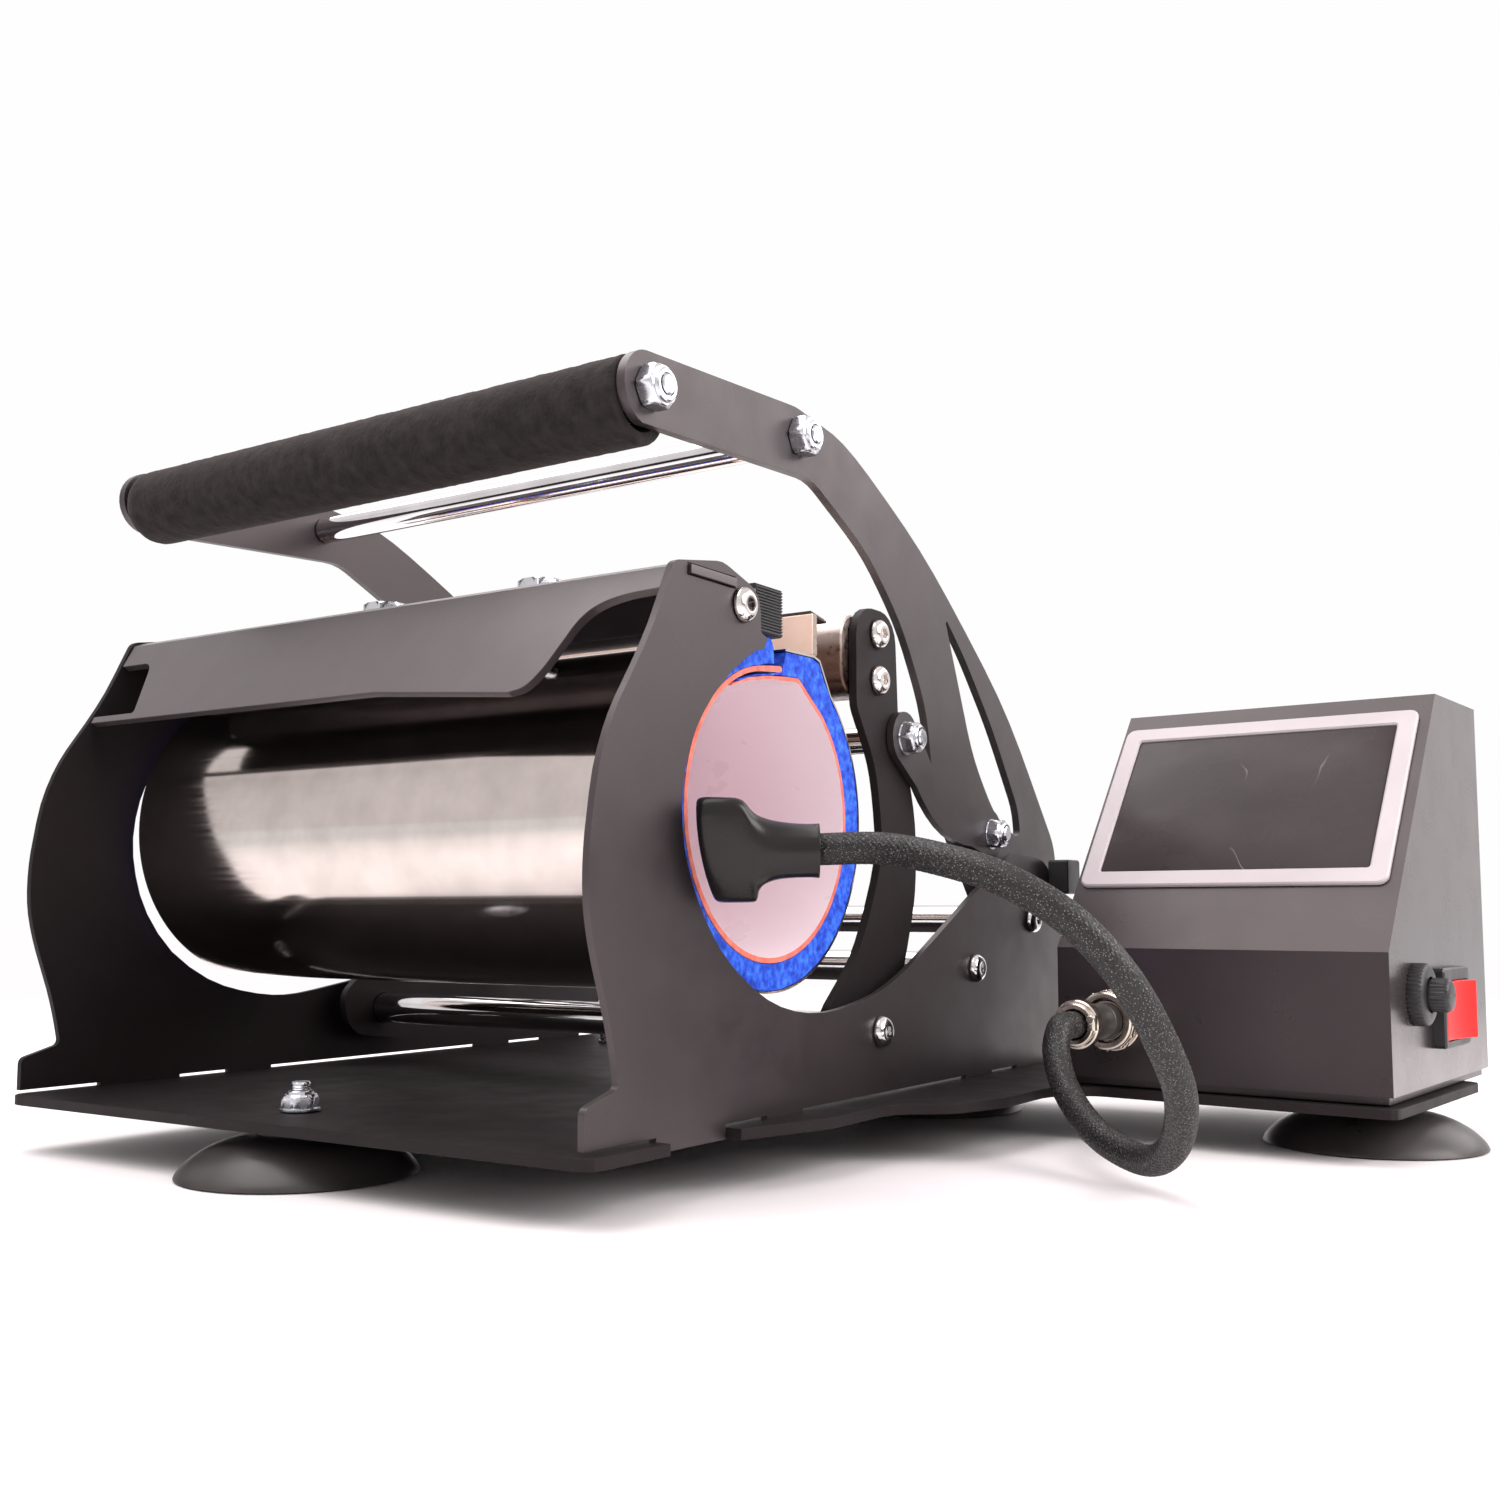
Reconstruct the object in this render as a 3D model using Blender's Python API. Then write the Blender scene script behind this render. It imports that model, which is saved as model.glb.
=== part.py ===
"""Tumbler heat press: a clamshell heater worked by a long handle, with a control box on the base plate.

The press is drawn in millimetres from the outer face of its right side plate:
X runs along the tumbler, Y runs from the operator to the rear, Z is up from the top of the base plate.
"""
import math

import bmesh
import bpy
from mathutils import Matrix, Vector

MM = 0.001
GAP = 0.3                      # clearance between neighbouring pieces

# ---- driving dimensions (mm) ----
SPAN = 245.0                   # outside to outside of the side plates
PLATE = 2.2                    # side plate and cover sheet
BASE_TOP = -1.6
FOOT = -0.6                    # the side plates stand clear of the base between their tabs
BASE = 3.2                     # base plate
TABLE = -20.0                  # table under the suction cups
BASE_BOTTOM = BASE_TOP - BASE
BASE_FRONT = -4.0
BASE_REAR = 308.0
BASE_LEFT = -SPAN + 1.0
BASE_RIGHT = 5.0
ARM = 3.0                      # jaw arms and handle arms
LINK = 2.6
LINK_OUT = -5.4                # outer face of the right link
ARM_OUT = -8.4                 # outer face of the right arms
ARM_IN = ARM_OUT - ARM
MIDDLE = -SPAN / 2

TABS = ((29.5, 62.0), (83.5, 103.5), (217.5, 239.5), (262.5, 290.0))   # tabs of the side plates in the base, along Y

# pivots, as (y, z)
JAW_PIVOT = (153.0, 19.3)
HANDLE_PIVOT = (279.0, 55.5)
LINK_JAW = (182.8, 120.1)
LINK_HANDLE = (254.0, 89.0)
REAR_ROD = (226.0, 38.0)
CLAMP_SCREW = (70.5, 148.8)
GRIP_AXIS = (35.3, 205.6)
GRIP_TUBE_AXIS = (35.7, 203.3)   # the loose grip tube hangs on its rod
GRIP_RADIUS = 13.0
GRIP_TUBE = 9.0
GRIP_BORE = 5.9
GRIP_FOAM = (-232.8, -12.0)    # ends of the foam along X
CROSS_AXIS = (115.6, 212.3)
ROD_RADIUS = 6.0
M6 = 3.0                       # radius of the bolts and threads
NUT_FLAT = 5.0                 # half across flats of the M6 nuts
BUTTON = 5.3                   # radius of the button heads
LINK_HOLE = 8.6                # oversize hole in the handle arms: the linkage is opened at this pin
SCREW_DEPTH = 12.0
SWEPT = -1.0                   # marks an outline corner that is bent along its whole sides

# heater, as a ring round (y, z)
HEATER = (92.0, 88.5)
LINER_IN = 43.5
LINER_OUT = 45.1
FOAM_OUT = 53.2
SHELL_OUT = 54.2
HEATER_ENDS = (-237.7, -4.0)
SPLIT = -13.0                  # degrees, where the fixed and the swinging half meet

# control box: placed by its front left lower corner, turned towards the operator
BOX_CORNER = (35.1, 219.7, 1.4)
BOX_TURN = -4.45               # degrees about Z
BOX_WIDE = 113.3
BOX_DEEP = 121.8
BOX_TOP_DEEP = 54.9
BOX_HIGH = 133.5
BOX_CREASE = 44.9
BOX_WALL = 1.5

# cover and clamp bars over the heater
COVER_TOP = 155.9
COVER_SHEET = 2.6
COVER_SLOT = {"y": (42.6, 66.8), "z": (152.9, 156.5)}   # slot in each side plate for the cover's tab
COVER_TAB = {"y": (43.3, 66.2), "end": 1.0}
COVER_LIP = (17.4, 119.6)      # lowest point of the cover's sloping front, as (y, z)
COVER_BEND = (36.5, 154.4)
COVER_BOLTS = {"left": -144.0, "right": -74.0}   # X of the bolts that hang the front clamp bar
COVER_BOLT_Y = 66.0
CLAMP = {"y": (62.5, 79.0), "z": (141.8, COVER_TOP - COVER_SHEET - GAP)}
JAW_BAR = {"x": (-SPAN - ARM_IN + GAP, ARM_IN - GAP), "y": (148.3, 172.0), "z": (132.7, 158.3)}
JAW_SCREWS = ((167.8, 155.5), (167.9, 139.2))
JAW_CLAMP = {"end": -6.0, "y": (120.0, 131.0), "z": (141.4, 155.0)}

BUMPER = {"x": (-PLATE - GAP, -18.0), "y": (82.0, 96.5), "z": (143.0, 158.0), "ribs": 6}
REAR_STOP = {"y": (296.0, 309.0), "z": (66.0, 80.0), "out": 9.0}

FEET = {"front": (-128.0, 20.0), "rear_left": (-205.0, 268.0), "rear_right": (-40.0, 268.0), "shelf": (131.0, 262.0)}

ORIGIN = (-43.5, 162.566, TABLE)    # design point that becomes the part's origin: under the middle of the press


# ---- scene and materials ----
def clear_scene():
    for obj in list(bpy.data.objects):
        bpy.data.objects.remove(obj, do_unlink=True)


def material(name, colour, roughness, metallic=0.0):
    mat = bpy.data.materials.new(name)
    mat.use_nodes = True
    shader = mat.node_tree.nodes["Principled BSDF"]
    shader.inputs["Base Color"].default_value = (*colour, 1.0)
    shader.inputs["Roughness"].default_value = roughness
    shader.inputs["Metallic"].default_value = metallic
    mat.diffuse_color = (*colour, 1.0)
    return mat


def make_materials():
    return {
        "powder": material("powder_black", (0.028, 0.026, 0.027), 0.6),
        "steel": material("polished_steel", (0.62, 0.58, 0.55), 0.14, 1.0),
        "chrome": material("chrome", (0.75, 0.75, 0.76), 0.08, 1.0),
        "zinc": material("zinc", (0.66, 0.67, 0.7), 0.28, 1.0),
        "nickel": material("nickel", (0.72, 0.68, 0.6), 0.25, 1.0),
        "foam_black": material("foam_black", (0.03, 0.024, 0.022), 0.95),
        "sponge": material("sponge_blue", (0.03, 0.11, 0.62), 0.8),
        "silicone": material("silicone_red", (0.78, 0.16, 0.1), 0.6),
        "rubber": material("rubber_black", (0.02, 0.02, 0.02), 0.55),
        "plastic": material("plastic_black", (0.02, 0.02, 0.02), 0.4),
        "braid": material("braid_black", (0.03, 0.03, 0.03), 0.5),
        "bezel": material("bezel_grey", (0.62, 0.6, 0.6), 0.35),
        "screen": material("screen", (0.05, 0.04, 0.04), 0.12),
        "red": material("rocker_red", (0.75, 0.02, 0.01), 0.3),
        "board": material("board_green", (0.03, 0.2, 0.08), 0.5),
    }


# ---- building helpers: every length is in millimetres ----
def empty(name, place, parent=None, turn=None):
    """Empty that carries pieces; with a turn, its pieces are drawn in its own turned axes."""
    obj = bpy.data.objects.new(name, None)
    bpy.context.scene.collection.objects.link(obj)
    obj.location = Vector(place) * MM
    obj.parent = parent
    obj["origin"] = tuple(place) if parent else (0.0, 0.0, 0.0)
    if turn is not None:
        obj.rotation_euler[2] = math.radians(turn)
        obj["origin"] = (0.0, 0.0, 0.0)
    return obj


def make(name, bm, look, parent, smooth=None):
    """Turn a bmesh into an object under an empty, with its origin on that empty."""
    bm.transform(Matrix.Translation(-Vector(parent["origin"])))
    bm.transform(Matrix.Scale(MM, 4))
    bmesh.ops.recalc_face_normals(bm, faces=bm.faces)
    mesh = bpy.data.meshes.new(name)
    bm.to_mesh(mesh)
    bm.free()
    if smooth:
        mesh.shade_smooth()
        mesh.set_sharp_from_angle(angle=math.radians(smooth))
    obj = bpy.data.objects.new(name, mesh)
    bpy.context.scene.collection.objects.link(obj)
    obj.parent = parent
    if look:
        mesh.materials.append(look)
    return obj


def combine(target, bm, parent, operation="DIFFERENCE"):
    """Cut or join a shape with an object by an exact Boolean."""
    tool = make(target.name + "_tool", bm, None, parent)
    tool.hide_render = True
    tool.display_type = "WIRE"
    step = target.modifiers.new(operation.lower(), "BOOLEAN")
    step.operation = operation
    step.solver = "EXACT"
    step.object = tool
    return target


def bevel(obj, width, segments=2, angle=40):
    step = obj.modifiers.new("edge", "BEVEL")
    step.width = width * MM
    step.segments = segments
    step.limit_method = "ANGLE"
    step.angle_limit = math.radians(angle)
    step.harden_normals = False
    return obj


def sweep_corner(start, corner, finish, steps=5):
    """Points on a long smooth bend that is pulled towards its corner."""
    pull = 0.85
    near, far = start.lerp(corner, pull), finish.lerp(corner, pull)
    points = []
    for step in range(1, steps + 1):
        t = step / steps
        rest = 1 - t
        points.append(tuple(start * rest ** 3 + near * 3 * rest ** 2 * t + far * 3 * rest * t ** 2 + finish * t ** 3))
    return points


def rounded(corners, segments=4):
    """Closed outline through (a, b, radius) corners.

    A corner is rounded by an arc, left sharp by a radius of 0, or with SWEPT bent between the middles of its two sides.
    """
    outline = []
    count = len(corners)
    for index, (a, b, radius) in enumerate(corners):
        here = Vector((a, b))
        if radius == 0:
            outline.append((a, b))
            continue
        last = Vector(corners[index - 1][:2])
        following = Vector(corners[(index + 1) % count][:2])
        if radius == SWEPT:
            outline += sweep_corner((last + here) / 2, here, (here + following) / 2)
            continue
        before = (last - here).normalized()
        after = (following - here).normalized()
        half = before.angle(after) / 2
        reach = radius / math.tan(half)
        centre = here + (before + after).normalized() * (radius / math.sin(half))
        start = here + before * reach - centre
        turn = math.pi - 2 * half
        if start.x * (here + after * reach - centre).y - start.y * (here + after * reach - centre).x < 0:
            turn = -turn
        steps = max(2, round(segments * abs(turn) / (math.pi / 2)))
        for step in range(steps + 1):
            angle = turn * step / steps
            cos, sin = math.cos(angle), math.sin(angle)
            outline.append((centre.x + start.x * cos - start.y * sin, centre.y + start.x * sin + start.y * cos))
    return outline


def curve_through(points, steps):
    """Smooth path through points in the plane or in space (Catmull-Rom)."""
    points = [Vector(point) for point in points]
    points = [2 * points[0] - points[1]] + points + [2 * points[-1] - points[-2]]
    path = []
    for a, b, c, d in zip(points, points[1:], points[2:], points[3:]):
        for step in range(steps):
            t = step / steps
            path.append(0.5 * (2 * b + (c - a) * t + (2 * a - 5 * b + 4 * c - d) * t * t
                               + (3 * b - a - 3 * c + d) * t ** 3))
    path.append(points[-2])
    return path


def arc(centre, radius, start, end, segments):
    """Points on an arc from start to end, in degrees."""
    points = []
    for step in range(segments + 1):
        angle = math.radians(start + (end - start) * step / segments)
        points.append((centre[0] + radius * math.cos(angle), centre[1] + radius * math.sin(angle)))
    return points


def prism(outline, low, high, axis="X", bm=None):
    """Straight extrusion of a flat outline along an axis; the outline is (y, z), (x, z) or (x, y)."""
    bm = bm or bmesh.new()
    place = {"X": lambda d, a, b: (d, a, b), "Y": lambda d, a, b: (a, d, b), "Z": lambda d, a, b: (a, b, d)}[axis]
    lower = [bm.verts.new(place(low, a, b)) for a, b in outline]
    upper = [bm.verts.new(place(high, a, b)) for a, b in outline]
    bm.faces.new(lower)
    bm.faces.new(reversed(upper))
    for index in range(len(outline)):
        after = (index + 1) % len(outline)
        bm.faces.new((lower[index], upper[index], upper[after], lower[after]))
    return bm


def block(x, y, z, bm=None):
    return prism([(y[0], z[0]), (y[1], z[0]), (y[1], z[1]), (y[0], z[1])], x[0], x[1], "X", bm)


def circle(centre, radius, segments=20):
    return arc(centre, radius, 0, 360 - 360 / segments, segments - 1)


def holes(places, low, high, axis="X", segments=20):
    """One cutter with a cylinder for each (a, b, radius)."""
    bm = bmesh.new()
    for a, b, radius in places:
        prism(circle((a, b), radius, segments), low, high, axis, bm)
    return bm


def turned(rings, centre, axis="X", segments=24, bm=None):
    """Solid along an axis from (distance, radius, kind) rings; kind is round or hex (radius is half the flats)."""
    bm = bm or bmesh.new()
    loops = []
    for distance, radius, kind in rings:
        loop = []
        for step in range(segments):
            angle = 2 * math.pi * step / segments
            reach = radius
            if kind == "hex":
                reach = radius / math.cos(angle % (math.pi / 3) - math.pi / 6)
            a = centre[0] + reach * math.cos(angle)
            b = centre[1] + reach * math.sin(angle)
            spot = {"X": (distance, a, b), "Y": (a, distance, b), "Z": (a, b, distance)}[axis]
            loop.append(bm.verts.new(spot))
        loops.append(loop)
    bm.faces.new(loops[0])
    bm.faces.new(reversed(loops[-1]))
    for low, high in zip(loops, loops[1:]):
        for index in range(segments):
            after = (index + 1) % segments
            bm.faces.new((low[index], high[index], high[after], low[after]))
    return bm


def plain(rings):
    return [(distance, radius, "round") for distance, radius in rings]


def mirrored(x):
    """The same place on the left side of the press."""
    return -SPAN - x


def both_sides():
    """Side name and a function that carries a right-hand X to that side."""
    return (("right", lambda x: x), ("left", mirrored))


# ---- base and side plates ----
def base_outline():
    """Plan of the base sheet with the waved shelf that carries the control box."""
    corners = [
        (BASE_LEFT, BASE_FRONT, 6), (BASE_RIGHT, BASE_FRONT, 5), (BASE_RIGHT, 62, 2), (9.5, 78, 20), (14.6, 97, 20),
        (14, 134, 12), (30, 146, 14), (37, 170, 20), (37, 206, 12), (50, 216, 8), (92, 212, 20), (150, 206, 4),
        (159, BASE_REAR, 6), (BASE_LEFT, BASE_REAR, 6),
    ]
    return rounded(corners, 3)


def base_plate(frame, looks):
    obj = make("base_plate", prism(base_outline(), BASE_BOTTOM, BASE_TOP, "Z"), looks["powder"], frame, 40)
    cutter = bmesh.new()
    for x, y in FEET.values():
        prism(circle((x, y), M6 + GAP, 16), BASE_BOTTOM - 5, 5, "Z", cutter)
    for _, carry in both_sides():
        for index, (front, rear) in enumerate(TABS):
            low, high = sorted((carry(12 if index == 0 else GAP), carry(-PLATE - GAP)))
            block((low, high), (front - GAP, rear + GAP), (BASE_BOTTOM - 5, 5), cutter)
    return combine(obj, cutter, frame)


OPENING_REAR = [(133, 28.9), (151, 32), (168, 37.6), (185, 45.2), (208, 56.5), (232, 68.2)]
OPENING_FRONT = {
    "right": [(77, 136), (66, 129.2), (55.4, 120.2), (46.9, 109.6), (42, 98.5), (40.6, 87.5), (41.8, 76.5), (45.9, 66.2),
              (51.8, 56.8), (59.6, 48), (70.5, 39.9), (84, 33), (99, 28.9), (116, 27.5)],
    "left": [(77, 136), (66, 129.2), (54.8, 120.2), (46.6, 109.6), (41.6, 99.1), (39.2, 85.3), (40.8, 71.7), (46, 58.1),
             (57, 44.2), (73, 33.8), (88, 28.9), (104, 26.4), (117, 26.6)],
}


def side_outline(side):
    """Side profile as (y, z): foot, bulged front, slanted top, heater opening and rear lobe."""
    front = [(12.9, 17.5), (11.3, 24.5), (9, 32.5), (6, 41), (3.2, 49.5), (1.2, 58), (0.5, 66), (0.8, 75), (1.9, 83.3),
             (4.2, 95.5), (8, 106), (12.8, 114.8), (19.8, 125), (27, 136.6), (33.8, 150.4)]
    outline = rounded([(-0.3, FOOT, 0), (-0.3, 9.9, 2.5), (13.6, 13.8, 2), (*front[0], 0)], 5)
    outline += [tuple(spot) for spot in curve_through(front, 2)][1:]
    top = [(*front[-1], 0), (36.5, 156, 4), (60, 160, 12), (80, 154, 8), (80.5, 142, 1), (84, 141, 1), (82.5, 137.5, 2),
           (77, 136, 0)]
    outline += rounded(top, 5)[1:-1]
    outline += [tuple(spot) for spot in curve_through(OPENING_FRONT[side] + OPENING_REAR, 2)]
    rear = [(232, 68.2, 0), (262, 82, 16), (298, 80, 20), (310, 52, 18), (303, FOOT, 4), (295, FOOT, 0)]
    outline += rounded(rear, 5)[1:-1]
    for y0, y1 in reversed(TABS):
        outline += [(y1, FOOT), (y1, BASE_BOTTOM), (y0, BASE_BOTTOM), (y0, FOOT)]
    return outline


def side_plates(frame, looks):
    for side, carry in both_sides():
        low, high = sorted((carry(0), carry(-PLATE)))
        obj = make("side_plate_" + side, prism(side_outline(side), low, high), looks["powder"], frame, 30)
        pins = [JAW_PIVOT, HANDLE_PIVOT, REAR_ROD, CLAMP_SCREW]
        cutter = holes([(y, z, M6 + GAP) for y, z in pins], low - 5, high + 5, segments=16)
        block((low - 5, high + 5), COVER_SLOT["y"], COVER_SLOT["z"], cutter)
        combine(obj, cutter, frame)


# ---- cover over the front of the heater ----
def cover_plate(frame, looks):
    """Bent sheet: flat top with a tab at each end, sloping front that is cut away at the right."""
    left, right = mirrored(-PLATE - GAP), -PLATE - GAP
    thick = COVER_SHEET
    top = COVER_TOP
    back = 81.5
    profile = [(back, top), (40, top), COVER_BEND, COVER_LIP, (COVER_LIP[0] + thick, COVER_LIP[1] - 0.6),
               (38.7, top - thick - 1.2), (40.9, top - thick), (back, top - thick)]
    obj = make("cover_plate", prism(profile, left, right), looks["powder"], frame, 30)
    edge = [(left - 2, 124.9), (-100.6, 124.9)]
    edge += curve_through([(-44, 120.1), (-38.4, 121.6), (-34.3, 126.5), (-31, 134), (-27.8, 140.8), (-22.8, 144.9),
                           (-14, 147.1), (right + 2, 147.8)], 4)
    window = rounded([(left - 2, 127.2, 0), (left + 22.5, 127.2, 1), (left + 16.8, 146.5, 5), (left - 2, 146.5, 0)], 4)
    # both cuts run square through the sloping front: its own axes are X, up the slope and out of it
    slope = math.atan2(COVER_BEND[1] - COVER_LIP[1], COVER_BEND[0] - COVER_LIP[0])
    cutter = bmesh.new()
    for shape in ([tuple(spot) for spot in edge] + [(right + 2, 110), (left - 2, 110)], window):
        outline = [(x, (z - COVER_LIP[1]) / math.sin(slope)) for x, z in shape]
        prism(outline, -8, 8, "Z", cutter)
    turn = Matrix.Translation((0, *COVER_LIP)) @ Matrix.Rotation(slope, 4, "X")
    bmesh.ops.transform(cutter, matrix=turn, verts=cutter.verts)
    combine(obj, cutter, frame)
    tabs = bmesh.new()
    for _, carry in both_sides():
        low, high = sorted((carry(-PLATE - 4), carry(COVER_TAB["end"])))
        block((low, high), COVER_TAB["y"], (top - thick, top), tabs)
    combine(obj, tabs, frame, "UNION")
    bolts = holes([(x, COVER_BOLT_Y, M6 + GAP) for x in COVER_BOLTS.values()], top - 10, top + 10, "Z", 16)
    return combine(obj, bolts, frame)


def cover_bolts(frame, looks):
    """Hex bolts with lock nuts that hang the front clamp bar under the cover."""
    for side, x in COVER_BOLTS.items():
        top = COVER_TOP + GAP
        rings = [(137.5, M6, "round"), (top, M6, "round"), (top, 7.2, "round"), (top + 1.4, 7.2, "round"),
                 (top + 1.4, 6.5, "hex"), (top + 7.4, 6.5, "hex"), (top + 8.4, 5.6, "hex")]
        make("cover_bolt_" + side, turned(rings, (x, COVER_BOLT_Y), "Z", 18), looks["zinc"], frame, 30)


def button_rings(x, outward, depth):
    """Rings of a button head screw whose head rests at x and whose shank runs inward by depth."""
    shape = [(-depth, M6), (0, M6), (0, BUTTON), (1.2, BUTTON * 0.95), (2.8, BUTTON * 0.5), (2.8, 1.8), (1.6, 1.8)]
    return plain([(x + outward * distance, radius) for distance, radius in shape])


def clamp_bar(frame, looks):
    """Square bar that grips the front edge of the heater, screwed to both side plates."""
    ends = (mirrored(-PLATE - GAP), -PLATE - GAP)
    obj = make("clamp_bar_front", block(ends, CLAMP["y"], CLAMP["z"]), looks["steel"], frame)
    cutter = holes([(x, COVER_BOLT_Y, M6 + GAP) for x in COVER_BOLTS.values()], 130, 160, "Z", 16)
    combine(obj, cutter, frame)
    screws = bmesh.new()
    for side, carry in both_sides():
        outward = 1 if side == "right" else -1
        turned(button_rings(carry(GAP), outward, SCREW_DEPTH), CLAMP_SCREW, "X", 12, screws)
    combine(obj, screws, frame, "UNION")


def bumpers(frame, looks):
    """Stops beside the clamp bar that the closing jaw runs up to, ribbed on their outer side."""
    for side, carry in both_sides():
        low, high = BUMPER["z"]
        outer, inner = BUMPER["x"]
        step = (high - low) / BUMPER["ribs"]
        outline = []
        for rib in range(BUMPER["ribs"]):
            z = low + step * rib
            outline += [(outer - 0.4, z + 0.1 * step), (outer, z + 0.3 * step), (outer, z + 0.7 * step),
                        (outer - 0.4, z + 0.9 * step)]
        outline += [(inner, high), (inner, low)]
        outline = [(carry(x), z) for x, z in outline]
        make("bumper_" + side, prism(outline, *BUMPER["y"], "Y"), looks["plastic"], frame)


# ---- rods between the side plates ----
def rod_rings():
    """Round rod between the side plates with a button head screw in each end."""
    outer = button_rings(GAP, 1, 0)[1:]
    right = [(-PLATE - GAP, ROD_RADIUS, "round"), (-PLATE - GAP, M6, "round")] + outer
    left = [(mirrored(distance), size, kind) for distance, size, kind in reversed(right)]
    return left + right


def tie_rods(frame, looks):
    for name, place in (("tie_rod_rear", REAR_ROD), ("jaw_pivot_rod", JAW_PIVOT), ("handle_pivot_rod", HANDLE_PIVOT)):
        make(name, turned(rod_rings(), place, "X", 14), looks["chrome"], frame, 30)


def rear_stops(frame, looks):
    """Small block on the outside of each side plate's rear lobe."""
    for side, carry in both_sides():
        x = sorted((carry(GAP), carry(REAR_STOP["out"])))
        make("rear_stop_" + side, block(x, REAR_STOP["y"], REAR_STOP["z"]), looks["plastic"], frame)


# ---- heater wrap ----
LAYERS = {
    # material, inner and outer radius, end of the fixed half, end of the swinging half
    "liner": ("silicone", LINER_IN, LINER_OUT, [(97.3, 134.3), (98.3, 133.2), (97.5, 131.9)],
              [(107.2, 130.6), (100.5, 130.4), (100.5, 132.0), (107.9, 132.2)]),
    "foam": ("sponge", LINER_OUT + GAP, FOAM_OUT, [(85.0, 142.6), (92.5, 142.6), (94.3, 135.2)],
             [(108.1, 132.6), (100.5, 132.4), (100.5, 139.4), (117.4, 139.7)]),
    "shell": ("steel", FOAM_OUT + GAP, SHELL_OUT, [],
              [(117.7, 140.1), (100.5, 139.8), (100.5, 140.7), (118.3, 141.1)]),
}


def heater(frame, jaw, looks):
    """Liner, sponge and steel sheet of the wrap, each as a fixed half and a half that swings with the jaw."""
    for name, (look, inner, outer, fixed_end, hook) in LAYERS.items():
        fixed = arc(HEATER, inner, 98, 360 + SPLIT - 0.6, 26) + arc(HEATER, outer, 360 + SPLIT - 0.6, 98, 26)
        make("heater_" + name + "_front", prism(fixed + fixed_end, *HEATER_ENDS), looks[look], frame, 30)
        moving = arc(HEATER, inner, SPLIT, 48, 9) + hook + arc(HEATER, outer, 48, SPLIT, 9)
        make("heater_" + name + "_rear", prism(moving, *HEATER_ENDS), looks[look], jaw, 30)


# ---- jaw ----
def jaw_outline():
    corners = [(134.2, 9.5, 12), (176.7, 4.5, 16), (182.7, 31.7, SWEPT), (195.3, 64, SWEPT), (195.8, 92.3, SWEPT),
               (182.7, 128.7, 12), (180.7, 164, 11), (152.9, 164, 11), (152.9, 128.7, 8), (166.6, 108.5, SWEPT),
               (171.6, 78.2, SWEPT), (154.4, 44.9, SWEPT), (131.2, 25.7, 8)]
    return rounded(corners, 5)


def bracket_outline():
    """Plan of the rear clamp bar with two lugs that carry it on the jaw bar."""
    right = JAW_CLAMP["end"]
    left = mirrored(right)
    front, back = JAW_CLAMP["y"]
    reach = JAW_BAR["y"][0] - GAP
    outline = [(left, front), (right, front), (right, back)]
    for lug in (-50, -175):
        outline += [(lug, back), (lug, reach), (lug - 20, reach), (lug - 20, back)]
    return outline + [(left, back)]


def jaw_parts(jaw, looks):
    for side, carry in both_sides():
        x = sorted((carry(ARM_OUT), carry(ARM_IN)))
        obj = make("jaw_arm_" + side, prism(jaw_outline(), *x), looks["powder"], jaw, 30)
        spots = [(*JAW_PIVOT, ROD_RADIUS + GAP), (*LINK_JAW, M6 + GAP)]
        spots += [(y, z, M6 + GAP) for y, z in JAW_SCREWS]
        combine(obj, holes(spots, x[0] - 5, x[1] + 5, segments=20), jaw)
    bar = make("jaw_bar", block(JAW_BAR["x"], JAW_BAR["y"], JAW_BAR["z"]), looks["steel"], jaw)
    bevel(bar, 1.2, 1)
    screws = bmesh.new()
    for side, carry in both_sides():
        outward = 1 if side == "right" else -1
        for place in JAW_SCREWS:
            turned(button_rings(carry(ARM_OUT + GAP), outward, SCREW_DEPTH), place, "X", 12, screws)
    combine(bar, screws, jaw, "UNION")
    make("jaw_bracket", prism(bracket_outline(), *JAW_CLAMP["z"], "Z"), looks["steel"], jaw)
    rear = JAW_BAR["y"][1] + GAP
    cap = turned(plain([(rear, 6.5), (rear + 5.7, 6.5), (rear + 6.7, 5.5)]), (-19.5, 141.8), "Y", 16)
    make("jaw_bar_cap", cap, looks["zinc"], jaw, 30)
    rings = [(ARM_IN - GAP - 1.0, ROD_RADIUS - 1.0, "round"), (ARM_IN - GAP - 1.0, M6, "round"),
             (LINK_OUT + GAP, M6, "round"), (LINK_OUT + GAP, NUT_FLAT, "hex"), (LINK_OUT + 5.5, NUT_FLAT, "hex"),
             (LINK_OUT + 6.0, 4.2, "round"), (LINK_OUT + 6.0, M6 - 0.3, "round"), (LINK_OUT + 7.4, M6 - 0.3, "round")]
    rings = [(mirrored(distance), radius, kind) for distance, radius, kind in reversed(rings)] + rings
    make("jaw_link_rod", turned(rings, LINK_JAW, "X", 12), looks["zinc"], jaw, 30)


def link_outline():
    """Banana link round both pins, sagging below the straight line between them."""
    end = 9.5
    chord = Vector(LINK_HANDLE) - Vector(LINK_JAW)
    tilt = math.degrees(math.atan2(chord.y, chord.x))
    along = chord.normalized()
    across = Vector((along.y, -along.x))
    middle = (Vector(LINK_JAW) + Vector(LINK_HANDLE)) / 2

    def bow(sag, start, steps=9):
        """Long edge of the link, from the jaw end to the handle end."""
        points = []
        for step in range(1, steps):
            t = 2 * step / steps - 1
            spot = middle + along * (t * chord.length / 2 * 0.82) + across * (sag * (1 - t * t) + start)
            points.append(tuple(spot))
        return points

    outline = arc(LINK_JAW, end, tilt + 75, tilt + 255, 12)
    outline += bow(9.0, 8.5)
    outline += arc(LINK_HANDLE, end, tilt - 75, tilt + 105, 12)
    outline += reversed(bow(10.0, -8.0))
    return outline


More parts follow.
